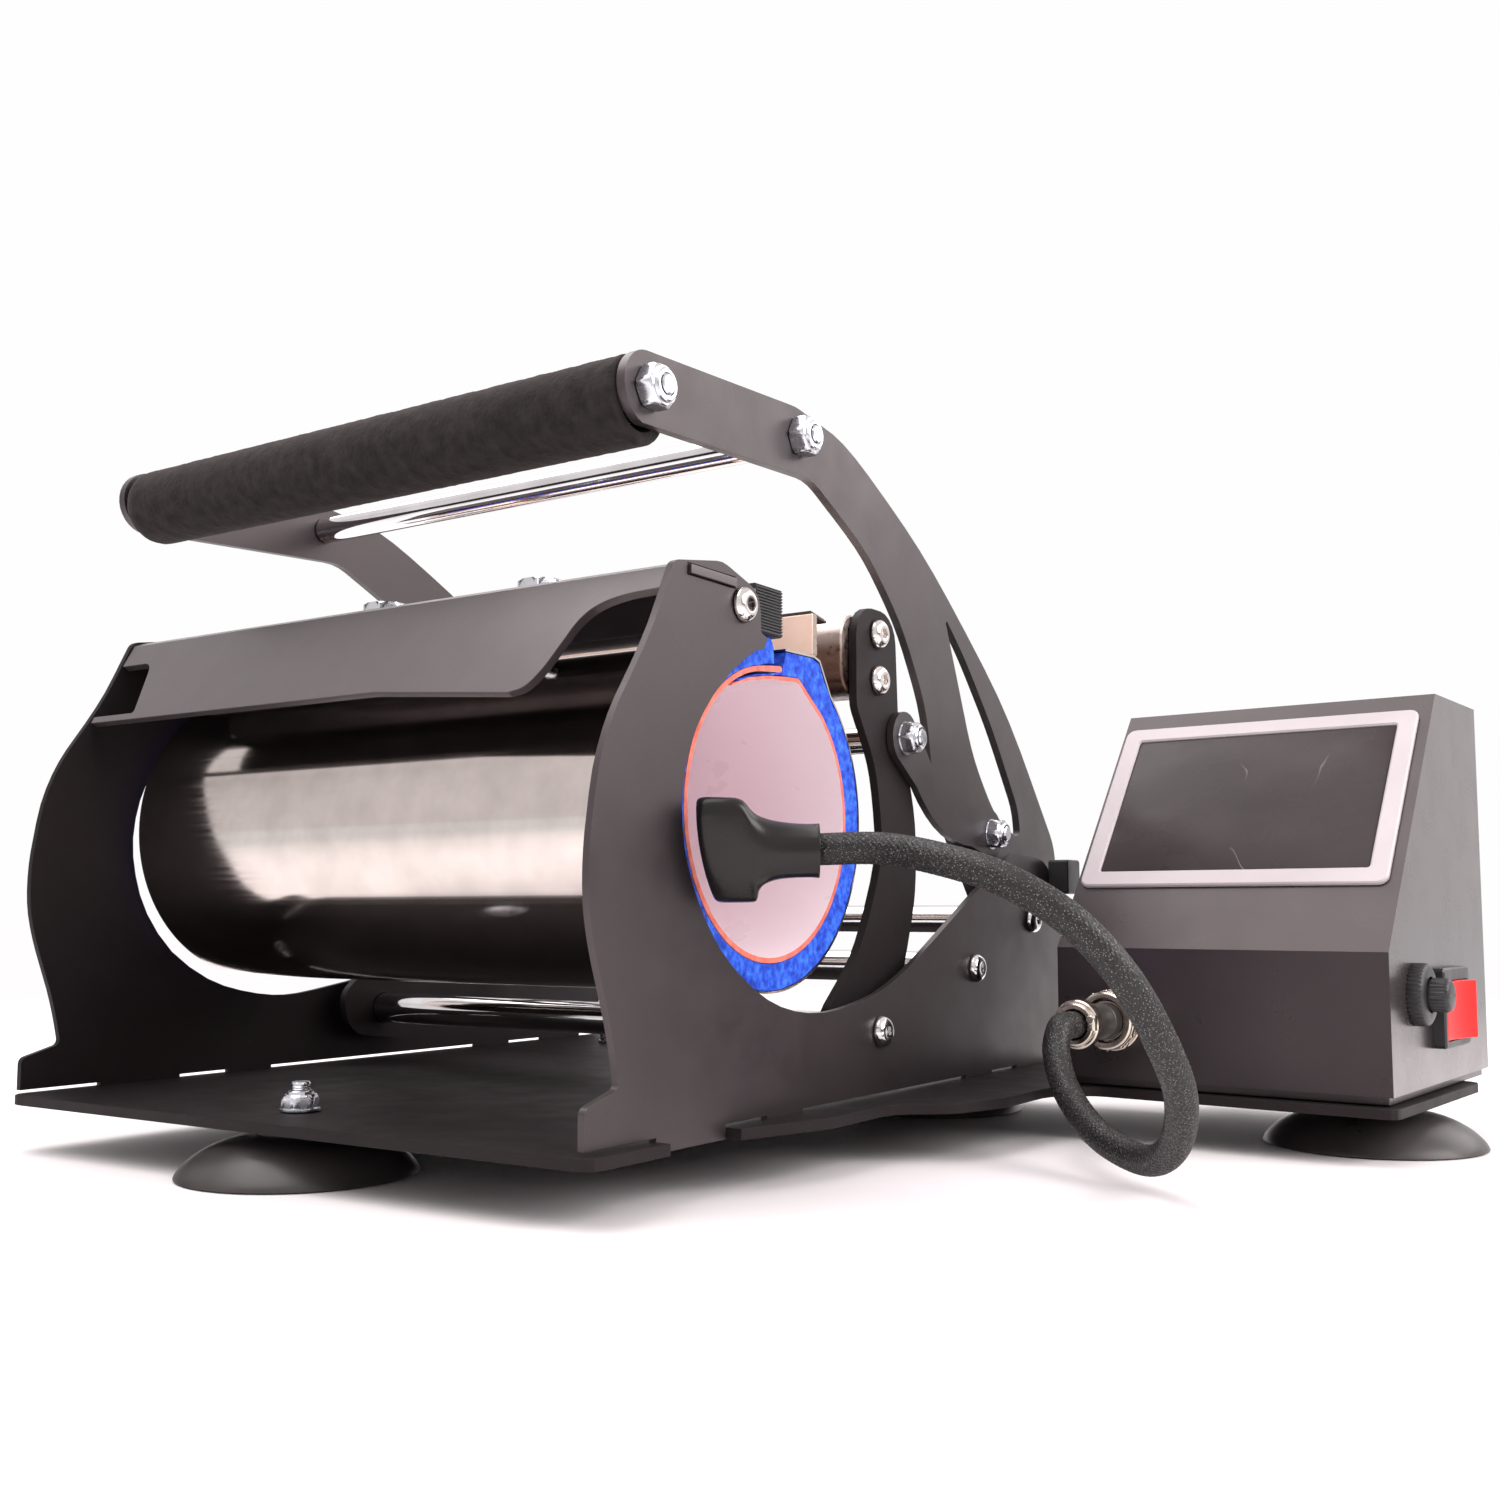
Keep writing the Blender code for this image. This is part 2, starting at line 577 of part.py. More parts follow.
def links(pivots, looks):
    for side, carry in both_sides():
        x = sorted((carry(LINK_OUT), carry(LINK_OUT - LINK)))
        obj = make("link_" + side, prism(link_outline(), *x), looks["powder"], pivots, 30)
        spots = [(*LINK_JAW, M6 + GAP), (*LINK_HANDLE, M6 + GAP)]
        combine(obj, holes(spots, x[0] - 5, x[1] + 5, segments=16), pivots)
        rings = [(LINK_OUT + 7.4, M6 - 0.3), (LINK_OUT + 6.0, M6 - 0.3), (LINK_OUT + 6.0, 4.2)]
        rings = [(distance, radius, "round") for distance, radius in rings]
        rings += [(LINK_OUT + 5.5, NUT_FLAT, "hex"), (LINK_OUT + GAP, NUT_FLAT, "hex"), (LINK_OUT + GAP, M6, "round"),
                  (ARM_IN - GAP, M6, "round"), (ARM_IN - GAP, 10.0, "round"), (ARM_IN - GAP - 1.2, 10.0, "round"),
                  (ARM_IN - GAP - 1.2, NUT_FLAT, "hex"), (ARM_IN - GAP - 5.2, NUT_FLAT, "hex")]
        rings = [(carry(distance), radius, kind) for distance, radius, kind in rings]
        make("link_bolt_" + side, turned(rings, LINK_HANDLE, "X", 12), looks["zinc"], pivots, 30)


# ---- handle ----
def handle_outline():
    grip = arc(GRIP_AXIS, 10.9, 255, 95, 14)
    back = [(114, 222.2, 30), (146.4, 218.5, SWEPT), (204.9, 190.8, SWEPT), (275.6, 141.3, SWEPT), (328.1, 82.2, 20),
            (312, 39.8, 26), (273.6, 27.7, 24), (243.3, 66.1, SWEPT), (210, 102.4, SWEPT), (205.4, 132.7, SWEPT),
            (186.8, 161, SWEPT), (161.5, 183.2, SWEPT), (124.1, 200.4, 24)]
    corners = rounded([(*grip[-1], 0)] + back + [(*grip[0], 0)], 9)
    return grip + corners[1:-1]


def handle_slot():
    """Crescent lightening slot that tapers to its upper tip."""
    corners = [(220.6, 170.6, 0.8), (238.2, 156.4, SWEPT), (262.5, 131.7, SWEPT), (286.7, 100.4, 22), (288.7, 87.3, 3),
               (263.5, 96.9, SWEPT), (243.8, 119.1, SWEPT), (228.7, 152.9, SWEPT)]
    return rounded(corners, 9)


def handle_parts(handle, looks):
    for side, carry in both_sides():
        x = sorted((carry(ARM_OUT), carry(ARM_IN)))
        obj = make("handle_arm_" + side, prism(handle_outline(), *x), looks["powder"], handle, 30)
        spots = [(*HANDLE_PIVOT, ROD_RADIUS + GAP), (*GRIP_AXIS, M6 + GAP), (*CROSS_AXIS, M6 + GAP),
                 (*LINK_HANDLE, LINK_HOLE)]
        cutter = holes(spots, x[0] - 5, x[1] + 5, segments=20)
        prism(handle_slot(), x[0] - 5, x[1] + 5, "X", cutter)
        combine(obj, cutter, handle)
    inner = ARM_IN - GAP
    nut = [(ARM_OUT + GAP, M6, "round"), (ARM_OUT + GAP, NUT_FLAT + 1, "hex"), (ARM_OUT + 5.8, NUT_FLAT + 1, "hex"),
           (ARM_OUT + 6.4, 5.0, "round"), (ARM_OUT + 6.4, M6 - 0.3, "round"), (ARM_OUT + 8.2, M6 - 0.3, "round")]

    def both_ends(rings):
        return [(mirrored(distance), radius, kind) for distance, radius, kind in reversed(rings)] + rings

    make("grip_rod", turned(both_ends(nut), GRIP_AXIS, "X", 12), looks["zinc"], handle, 30)
    cross = [(inner, 5.0, "round"), (inner, M6, "round")] + nut
    make("handle_cross_rod", turned(both_ends(cross), CROSS_AXIS, "X", 12), looks["chrome"], handle, 30)
    tube = make("grip_tube", turned(plain([(mirrored(inner), GRIP_TUBE), (inner, GRIP_TUBE)]), GRIP_TUBE_AXIS, "X", 20),
                looks["zinc"], handle, 30)
    combine(tube, turned(plain([(-SPAN, GRIP_BORE), (0, GRIP_BORE)]), GRIP_TUBE_AXIS, "X", 16), handle)
    left, right = GRIP_FOAM
    foam = [(left, GRIP_RADIUS - 2), (left + 2, GRIP_RADIUS), (right - 1, GRIP_RADIUS), (right, GRIP_RADIUS - 1)]
    foam = make("grip_foam", turned(plain(foam), GRIP_TUBE_AXIS, "X", 28), looks["foam_black"], handle, 30)
    bore = plain([(-SPAN, GRIP_TUBE + GAP), (0, GRIP_TUBE + GAP)])
    combine(foam, turned(bore, GRIP_TUBE_AXIS, "X", 20), handle)


# ---- feet ----
def ring_closed(profile, place, segments):
    """Turned ring: the profile closes on itself instead of being capped."""
    bm = bmesh.new()
    loops = []
    for height, radius in profile:
        loop = [(*spot, height) for spot in circle(place, radius, segments)]
        loops.append([bm.verts.new(spot) for spot in loop])
    for index, loop in enumerate(loops):
        other = loops[(index + 1) % len(loops)]
        for step in range(segments):
            after = (step + 1) % segments
            bm.faces.new((loop[step], other[step], other[after], loop[after]))
    return bm


def feet(frame, looks):
    """Suction cups under the base, each on a stud with a nut on top of the base."""
    under = BASE_BOTTOM - GAP
    bore = M6 + GAP
    cup = [(TABLE, 26), (TABLE, 36), (TABLE + 1.0, 36), (TABLE + 4, 30), (TABLE + 8, 20), (under - 3, 12), (under, 11),
           (under, bore), (TABLE + 6, bore), (TABLE + 5.5, 12)]
    over = BASE_TOP + GAP
    stud = [(TABLE + 6.5, M6, "round"), (over, M6, "round"), (over, 6.0, "round"), (over + 1, 6.0, "round"),
            (over + 1, NUT_FLAT, "hex"), (over + 5.5, NUT_FLAT, "hex"), (over + 5.5, M6 - 0.3, "round"),
            (over + 8.8, M6 - 0.3, "round")]
    for name, place in FEET.items():
        make("suction_cup_" + name, ring_closed(cup, place, 20), looks["rubber"], frame, 30)
        make("foot_stud_" + name, turned(stud, place, "Z", 12), looks["zinc"], frame, 30)


# ---- control box, drawn from its front left lower corner ----
SLOPE = math.atan2(BOX_HIGH - BOX_CREASE, BOX_DEEP - BOX_TOP_DEEP)
BEZEL = {"x": (1.5, 109.5), "s": (26.5, 103.0), "rise": 1.6}
SCREEN = {"x": (8.0, 103.0), "s": (33.0, 96.5)}
SOCKET = (21.0, 20.2)          # x, z on the front
ROCKER = {"y": (47.9, 80.3), "z": (11.8, 38.6), "rise": 4.2}
ROCKER_AXIS = (BOX_WIDE - 1.0, 64.1)
ROCKER_TILT = 8.05             # degrees either side of the middle
FUSE = (28.0, 30.7)            # y, z on the right side
FUSE_FLANGE = 10.2
FUSE_CAP = 5.5
INLET = {"x": (40.0, 72.0), "z": (18.0, 42.0)}


def on_slope(along, out):
    """(y, z) of a point on the sloping front, along it from the crease and out of it."""
    cos, sin = math.cos(SLOPE), math.sin(SLOPE)
    return (along * cos - out * sin, BOX_CREASE + along * sin + out * cos)


def slope_block(x, along, out, bm=None):
    corners = [on_slope(along[0], out[0]), on_slope(along[1], out[0]), on_slope(along[1], out[1]),
               on_slope(along[0], out[1])]
    return prism(corners, x[0], x[1], "X", bm)


def box_profile(inset):
    """Side profile of the housing, moved in by the wall."""
    shift = inset * math.tan((math.radians(90) - SLOPE) / 2)
    front = BOX_DEEP - BOX_TOP_DEEP + shift
    return [(inset, 0), (BOX_DEEP - inset, 0), (BOX_DEEP - inset, BOX_HIGH - inset), (front, BOX_HIGH - inset),
            (inset, BOX_CREASE - shift)]


def control_box(frame, box, looks):
    """Folded housing open at the bottom, closed by a pan that stands on the shelf."""
    obj = make("box_housing", prism(box_profile(0), 0, BOX_WIDE), looks["powder"], box, 20)
    hollow = [(y, z if z else -2) for y, z in box_profile(BOX_WALL)]
    cutter = prism(hollow, BOX_WALL, BOX_WIDE - BOX_WALL)
    combine(obj, cutter, box)
    openings = slope_block((SCREEN["x"][0] - 1, SCREEN["x"][1] + 1), (SCREEN["s"][0] - 1, SCREEN["s"][1] + 1), (-4, 2))
    prism(circle(SOCKET, 8 + GAP, 20), -3, 3, "Y", openings)
    block((BOX_WIDE - 3, BOX_WIDE + 3), (ROCKER["y"][0] + 2, ROCKER["y"][1] - 2),
          (ROCKER["z"][0] + 2, ROCKER["z"][1] - 2), openings)
    prism(circle(FUSE, 6 + GAP, 20), BOX_WIDE - 3, BOX_WIDE + 3, "X", openings)
    block((INLET["x"][0] + 2, INLET["x"][1] - 2), (BOX_DEEP - 3, BOX_DEEP + 3),
          (INLET["z"][0] + 2, INLET["z"][1] - 2), openings)
    combine(obj, openings, box)

    edge = BOX_WALL + GAP
    pan = block((edge, BOX_WIDE - edge), (edge, BOX_DEEP - edge), (BASE_TOP - BOX_CORNER[2] + GAP, 2.0))
    pan = make("box_pan", pan, looks["powder"], box)
    combine(pan, holes([(*FEET["shelf"], 8.0)], BASE_TOP, 20, "Z"), frame)


def display(box, looks):
    bezel = make("lcd_bezel", slope_block(BEZEL["x"], BEZEL["s"], (GAP, BEZEL["rise"])), looks["bezel"], box)
    window = slope_block((SCREEN["x"][0], SCREEN["x"][1]), SCREEN["s"], (-4, 4))
    combine(bezel, window, box)
    bevel(bezel, 0.5, 1)
    glass = slope_block((SCREEN["x"][0] + GAP, SCREEN["x"][1] - GAP), (SCREEN["s"][0] + GAP, SCREEN["s"][1] - GAP),
                        (-3.0, BEZEL["rise"] - 0.7))
    make("lcd_screen", glass, looks["screen"], box)
    board = slope_block((12, 96), (36, 94), (-9.5, -7.9))
    make("control_board", board, looks["board"], box)


def rocker_switch(box, pivot, looks):
    """Frame with a deep well, and a rocker lying along the box with its rear end out."""
    y, z = ROCKER["y"], ROCKER["z"]
    wall = BOX_WIDE
    face = wall + ROCKER["rise"]
    frame = make("rocker_frame", block((wall + GAP, face), y, z), looks["plastic"], box)
    inset = 2 + GAP
    shank = block((wall - 16, wall + 1), (y[0] + inset, y[1] - inset), (z[0] + inset, z[1] - inset))
    combine(frame, shank, box, "UNION")
    rim = 2.7
    well = block((wall - 8, face + 3), (y[0] + 1.7, y[1] - 1.7), (z[0] + rim - 0.8, z[1] - rim - 1.2))
    combine(frame, well, box)
    tilt = math.radians(ROCKER_TILT)
    outline = []
    for out, along in ((-1.5, -12.4), (6.87, -13.1), (6.0, -6.5), (5.7, 0.0), (6.0, 6.5), (6.87, 13.1), (-1.5, 12.4)):
        outline.append((ROCKER_AXIS[0] + out * math.cos(tilt) + along * math.sin(tilt),
                        ROCKER_AXIS[1] - out * math.sin(tilt) + along * math.cos(tilt)))
    make("rocker_switch", prism(outline, z[0] + rim - 0.4, z[1] - rim - 1.6, "Z"), looks["red"], pivot)


def fuse_holder(box, pivot, looks):
    """Flanged holder with a knob that unscrews."""
    wall = BOX_WIDE
    rings = plain([(wall - 22, 5.5), (wall + GAP, 5.5), (wall + GAP, FUSE_FLANGE), (wall + 4.2, FUSE_FLANGE),
                   (wall + 5.0, FUSE_FLANGE - 0.8)])
    make("fuse_holder", turned(rings, FUSE, "X", 24), looks["plastic"], box, 30)
    cap = plain([(wall + 5 + GAP, FUSE_CAP), (wall + 11, FUSE_CAP), (wall + 11.6, FUSE_CAP - 0.7)])
    obj = make("fuse_cap", turned(cap, FUSE, "X", 18), looks["plastic"], pivot, 30)
    slot = block((wall + 10.6, wall + 13), (FUSE[0] - 4, FUSE[0] + 4), (FUSE[1] - 0.6, FUSE[1] + 0.6))
    combine(obj, slot, pivot)


def power_inlet(box, looks):
    x, z = INLET["x"], INLET["z"]
    back = BOX_DEEP
    obj = make("power_inlet", block(x, (back + GAP, back + 3), z), looks["plastic"], box)
    shank = block((x[0] + 2 + GAP, x[1] - 2 - GAP), (back - 18, back + 1), (z[0] + 2 + GAP, z[1] - 2 - GAP))
    combine(obj, shank, box, "UNION")
    well = block((x[0] + 4.5, x[1] - 4.5), (back - 13, back + 5), (z[0] + 4.5, z[1] - 4.5))
    combine(obj, well, box)


# ---- heater lead: boot, cable and aviation plug ----
BARREL = 6.2                   # radius of the plug's barrel
NECK = 7.0                     # radius of the threaded neck of the panel socket
PLUG_END = -31.0


def plug(box, pivot, looks):
    """Panel socket, plug with a clamp ring for the lead, and the ring nut that locks them together."""
    socket = [(-6.0, NECK, "round"), (-3.0, NECK, "round"), (-3.0, 9.3, "hex"), (-GAP, 9.3, "hex"), (-GAP, NECK, "round"),
              (12, NECK, "round")]
    make("panel_socket", turned(socket, SOCKET, "Y", 18), looks["nickel"], box, 30)
    body = plain([(PLUG_END, 7.2), (PLUG_END + 0.7, 8.2), (-25, 8.2), (-25, BARREL), (-6.0 - GAP, BARREL)])
    obj = make("plug_body", turned(body, SOCKET, "Y", 18), looks["nickel"], box, 30)
    combine(obj, turned(plain([(PLUG_END - 5, CABLE + 0.8), (-28, CABLE + 0.8)]), SOCKET, "Y", 16), box)
    collar = [(3.0 + GAP, 10.0), (7.6, 10.0), (7.6, NECK + GAP), (3.0 + GAP, NECK + GAP)]
    bm = ring_closed(collar, (0, 0), 18)
    bm.transform(Matrix.Rotation(math.radians(90), 4, "X"))
    bm.transform(Matrix.Translation((SOCKET[0], 0, SOCKET[1])))
    make("plug_collar", bm, looks["nickel"], pivot, 30)


CABLE = 4.3                    # radius of the braided lead
BOOT_START = (3.8, 43.3, 75.6)
BOOT_TURN = 33.4
BOOT_LONG = 33.0
LEAD = [(22.2, 55.4, 75.6), (32.3, 62.0, 76.0), (48.8, 65.3, 75.9), (67.4, 63.7, 72.6), (84.8, 63.9, 67.1),
        (100.6, 67.4, 57.3), (111.7, 74.0, 43.5), (117.2, 84.7, 27.4), (117.5, 100.3, 10.9), (110.0, 117.0, -4.2),
        (97.1, 131.1, -11.3), (77.9, 145.9, -7.9), (61.7, 162.1, 1.7), (53.6, 172.3, 12.9), (52.5, 178.3, 20.6),
        (53.3, 183.0, 21.6), (53.7, 188.2, 21.6)]


def tube(path, radius, segments):
    """Round tube along a path, capped at both ends."""
    bm = bmesh.new()
    side = Vector((0, 0, 1))
    loops = []
    for index, spot in enumerate(path):
        ahead = (path[min(index + 1, len(path) - 1)] - path[max(index - 1, 0)]).normalized()
        side = (side - ahead * side.dot(ahead)).normalized()
        other = ahead.cross(side)
        loop = []
        for step in range(segments):
            angle = 2 * math.pi * step / segments
            loop.append(bm.verts.new(spot + side * (radius * math.cos(angle)) + other * (radius * math.sin(angle))))
        loops.append(loop)
    bm.faces.new(loops[0])
    bm.faces.new(reversed(loops[-1]))
    for low, high in zip(loops, loops[1:]):
        for index in range(segments):
            after = (index + 1) % segments
            bm.faces.new((low[index], high[index], high[after], low[after]))
    return bm


def heater_lead(frame, looks):
    boot_frame = empty("boot_frame", BOOT_START, frame, BOOT_TURN)
    shape = [(0, -14.2, 3), (12, -14.2, 4), (16, -8, 5), (BOOT_LONG, -7.3, 0), (BOOT_LONG, 7.3, 0), (16, 8, 5),
             (12, 14.6, 4), (0, 14.6, 3)]
    boot = make("heater_boot", prism(rounded(shape, 4), -6.5, 6.5, "Y"), looks["rubber"], boot_frame, 30)
    bevel(boot, 3.0, 2, 50)
    combine(boot, turned(plain([(12, CABLE + 1), (BOOT_LONG + 3, CABLE + 1)]), (0, 0), "X", 12), boot_frame)
    make("heater_cable", tube(curve_through(LEAD, 3), CABLE, 8), looks["braid"], frame, 40)


def main():
    clear_scene()
    looks = make_materials()
    frame = empty("press_frame", tuple(-value for value in ORIGIN))
    jaw = empty("jaw_axis", (MIDDLE, *JAW_PIVOT), frame)
    link = empty("link_axis", (MIDDLE, *LINK_JAW), frame)
    handle = empty("handle_axis", (MIDDLE, *HANDLE_PIVOT), frame)
    box = empty("box_frame", BOX_CORNER, frame, BOX_TURN)
    rocker = empty("rocker_axis", (*ROCKER_AXIS, sum(ROCKER["z"]) / 2), box)
    cap = empty("fuse_axis", (BOX_WIDE, *FUSE), box)
    collar = empty("collar_axis", (SOCKET[0], 0.0, SOCKET[1]), box)
    base_plate(frame, looks)
    side_plates(frame, looks)
    cover_plate(frame, looks)
    cover_bolts(frame, looks)
    clamp_bar(frame, looks)
    bumpers(frame, looks)
    tie_rods(frame, looks)
    rear_stops(frame, looks)
    heater(frame, jaw, looks)
    jaw_parts(jaw, looks)
    links(link, looks)
    handle_parts(handle, looks)
    feet(frame, looks)
    control_box(frame, box, looks)
    display(box, looks)
    rocker_switch(box, rocker, looks)
    fuse_holder(box, cap, looks)
    power_inlet(box, looks)
    plug(box, collar, looks)
    heater_lead(frame, looks)


main()
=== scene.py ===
"""Looks of the tumbler heat press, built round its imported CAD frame.

Shapes are drawn in millimetres in the press's own axes: X is 0 at the outer face of the right side plate,
Y is 0 at the front foot of the side plates and Z is 0 at their foot. TO_FRAME carries them into the frame.
"""
import math

import bmesh
import bpy
from mathutils import Matrix, Vector, noise


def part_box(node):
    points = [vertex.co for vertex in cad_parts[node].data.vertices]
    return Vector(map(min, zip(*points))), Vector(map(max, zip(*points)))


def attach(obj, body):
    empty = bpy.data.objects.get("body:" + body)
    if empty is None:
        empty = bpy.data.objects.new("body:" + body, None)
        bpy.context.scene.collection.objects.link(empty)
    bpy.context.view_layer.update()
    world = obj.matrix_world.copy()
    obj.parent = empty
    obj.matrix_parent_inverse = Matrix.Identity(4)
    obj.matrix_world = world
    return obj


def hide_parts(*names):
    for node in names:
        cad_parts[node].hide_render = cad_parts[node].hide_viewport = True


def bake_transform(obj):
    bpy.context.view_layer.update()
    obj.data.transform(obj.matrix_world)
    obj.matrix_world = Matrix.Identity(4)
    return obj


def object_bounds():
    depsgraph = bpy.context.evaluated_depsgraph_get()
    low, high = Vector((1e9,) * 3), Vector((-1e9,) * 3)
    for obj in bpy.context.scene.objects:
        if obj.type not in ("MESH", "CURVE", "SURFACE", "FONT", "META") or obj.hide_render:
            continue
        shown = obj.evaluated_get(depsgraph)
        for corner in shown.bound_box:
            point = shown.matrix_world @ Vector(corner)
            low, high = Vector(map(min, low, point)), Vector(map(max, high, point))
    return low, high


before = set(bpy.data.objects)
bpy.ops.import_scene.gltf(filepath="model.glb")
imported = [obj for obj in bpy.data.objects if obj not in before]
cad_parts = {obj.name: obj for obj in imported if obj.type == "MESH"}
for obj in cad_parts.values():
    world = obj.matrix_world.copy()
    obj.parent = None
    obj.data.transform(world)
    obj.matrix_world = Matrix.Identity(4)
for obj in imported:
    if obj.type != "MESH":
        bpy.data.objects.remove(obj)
cad_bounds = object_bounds()

MM = 0.001
plate_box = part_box("side_plate_right")
base_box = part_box("base_plate")
ORIGIN = Vector((plate_box[1].x, base_box[0].y + 4.0 * MM, base_box[1].z + 1.6 * MM))
TO_FRAME = Matrix.Translation(ORIGIN) @ Matrix.Scale(MM, 4)
FROM_FRAME = TO_FRAME.inverted()


def drawn_box(node):
    """A CAD node's box in drawing millimetres."""
    low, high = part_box(node)
    return FROM_FRAME @ low, FROM_FRAME @ high


def drawn_centre(node):
    low, high = drawn_box(node)
    return (low + high) / 2


SPAN = -drawn_box("side_plate_left")[0].x
PLATE = 2.2
GAP = 0.3
M6 = 3.0                         # radius
ROD = 6.0                        # radius
NUT = 5.0                       # half across flats
BUTTON = 5.3                    # radius of the button heads
CABLE = 4.3                      # radius
BOX_TURN = math.radians(-4.45)
BOX_SIZE = (113.3, 121.8, 133.5)
BOX_CREASE = 44.9
BOX_TOP_DEEP = 54.9
BOX_SLOPE = math.atan2(BOX_SIZE[2] - BOX_CREASE, BOX_SIZE[1] - BOX_TOP_DEEP)
BOX_CORNER = Vector((35.1, 219.7, 1.4))
BOX = Matrix.Translation(BOX_CORNER) @ Matrix.Rotation(BOX_TURN, 4, "Z")
# sloping face of the box: x across, y up the slope from the crease, z out of it
SLOPE = BOX @ Matrix.Translation((0, 0, BOX_CREASE)) @ Matrix.Rotation(BOX_SLOPE, 4, "X")


# ---------------------------------------------------------------- materials
class Look:
    """A node material: a Principled shader and short calls that add nodes in front of it."""

    def __init__(self, name, slot, colour, rough, metal=0.0, **inputs):
        self.mat = bpy.data.materials.new(name)
        self.mat.use_nodes = True
        self.nodes = self.mat.node_tree.nodes
        self.links = self.mat.node_tree.links
        self.shader = self.nodes["Principled BSDF"]
        self.slot = slot
        self.set("Base Color", (*colour, 1.0))
        self.set("Roughness", rough)
        self.set("Metallic", metal)
        for key, value in inputs.items():
            self.set(key.replace("_", " "), value)
        self.place = self.nodes.new("ShaderNodeTexCoord").outputs["Object"]

    def set(self, name, value):
        self.shader.inputs[name].default_value = value

    def feed(self, name, socket):
        self.links.new(socket, self.shader.inputs[name])

    def tint(self, scale, detail, stops):
        """Base colour that drifts between the stops."""
        self.feed("Base Color", self.ramp(self.grain(scale, detail), stops))

    def polish(self, scale, detail, low, high):
        """Roughness that drifts between low and high."""
        self.feed("Roughness", self.levels(self.grain(scale, detail), low, high, 0.3, 0.7))

    def stretch(self, scale):
        node = self.nodes.new("ShaderNodeMapping")
        node.inputs["Scale"].default_value = scale
        self.links.new(self.place, node.inputs["Vector"])
        return node.outputs[0]

    def grain(self, scale, detail=3.0, place=None):
        node = self.nodes.new("ShaderNodeTexNoise")
        node.inputs["Scale"].default_value = scale
        node.inputs["Detail"].default_value = detail
        self.links.new(place or self.place, node.inputs["Vector"])
        return node.outputs["Fac"]

    def cells(self, scale, feature="F1"):
        node = self.nodes.new("ShaderNodeTexVoronoi")
        node.feature = feature
        node.inputs["Scale"].default_value = scale
        self.links.new(self.place, node.inputs["Vector"])
        return node.outputs["Distance"]

    def height(self):
        """Height in the frame."""
        node = self.nodes.new("ShaderNodeSeparateXYZ")
        self.links.new(self.place, node.inputs[0])
        return node.outputs["Z"]

    def ramp(self, source, stops):
        node = self.nodes.new("ShaderNodeValToRGB")
        ramp = node.color_ramp
        while len(ramp.elements) < len(stops):
            ramp.elements.new(0.5)
        for element, (at, colour) in zip(ramp.elements, stops):
            element.position = at
            element.color = colour if len(colour) == 4 else (*colour, 1.0)
        self.links.new(source, node.inputs["Fac"])
        return node.outputs["Color"]

    def levels(self, source, low, high, start=0.0, stop=1.0):
        node = self.nodes.new("ShaderNodeMapRange")
        for key, value in (("From Min", start), ("From Max", stop), ("To Min", low), ("To Max", high)):
            node.inputs[key].default_value = value
        self.links.new(source, node.inputs["Value"])
        return node.outputs["Result"]

    def mix(self, factor, a, b):
        node = self.nodes.new("ShaderNodeMix")
        node.data_type = "RGBA"
        for key, value in (("Factor", factor), ("A", a), ("B", b)):
            kinds = ("VALUE",) if key == "Factor" else ("RGBA",)
            socket = next(one for one in node.inputs if one.name == key and one.type in kinds)
            if isinstance(value, (tuple, float, int)):
                socket.default_value = value
            else:
                self.links.new(value, socket)
        return node.outputs[2]

    def bump(self, source, strength, distance, normal=None):
        node = self.nodes.new("ShaderNodeBump")
        node.inputs["Strength"].default_value = strength
        node.inputs["Distance"].default_value = distance * MM
        self.links.new(source, node.inputs["Height"])
        if normal:
            self.links.new(normal, node.inputs["Normal"])
        return node.outputs["Normal"]


def powder_coat(name="powder_coat", lift=1.0, rough=(0.34, 0.46), coat=0.0, gloss=0.8):
    """Black powder coat: a fine pebble, a cloudy sheen and a few pale specks of painted glint."""
    look = Look(name, "powder_black", (0.02, 0.02, 0.02), 0.42, Specular_IOR_Level=gloss, Coat_Weight=coat,
                Coat_Roughness=0.2)
    look.set("Specular Tint", (1.0, 0.88, 0.905, 1.0))
    dark = tuple(lift * value for value in (0.0130, 0.0100, 0.0108))
    light = tuple(lift * value for value in (0.022, 0.0175, 0.0185))
    tone = look.ramp(look.grain(9.0, 4.0), [(0.3, dark), (0.75, light)])
    # the pale specks mixed into the base colour are painted glints of the coat
    glint_specks = look.ramp(look.cells(150.0), [(0.0, (1, 1, 1)), (0.03, (0, 0, 0))])
    look.feed("Base Color", look.mix(glint_specks, tone, (0.16, 0.15, 0.15, 1.0)))
    look.polish(60.0, 5.0, *rough)
    pebble = look.bump(look.grain(1100.0, 2.0), 0.22, 0.1)
    look.feed("Normal", look.bump(look.grain(320.0, 3.0), 0.08, 0.15, pebble))
    return look


def metal(name, slot, colour, rough, streak=None, wave=0.0):
    """Plated or polished metal: cloudy polish, fine brushing along a direction and a slow wave."""
    look = Look(name, slot, colour, rough, 1.0)
    worn = tuple(min(1.0, value * 0.86) for value in colour)
    look.tint(70.0, 5.0, [(0.35, worn), (0.65, colour)])
    brush = look.grain(1.0, 4.0, look.stretch(streak or (500, 500, 500)))
    look.feed("Roughness", look.levels(brush, rough * 0.7, rough * 1.35, 0.3, 0.7))
    normal = look.bump(brush, 0.06, 0.05)
    if wave:
        normal = look.bump(look.grain(14.0, 1.0), wave, 1.0, normal)
    look.feed("Normal", normal)
    return look


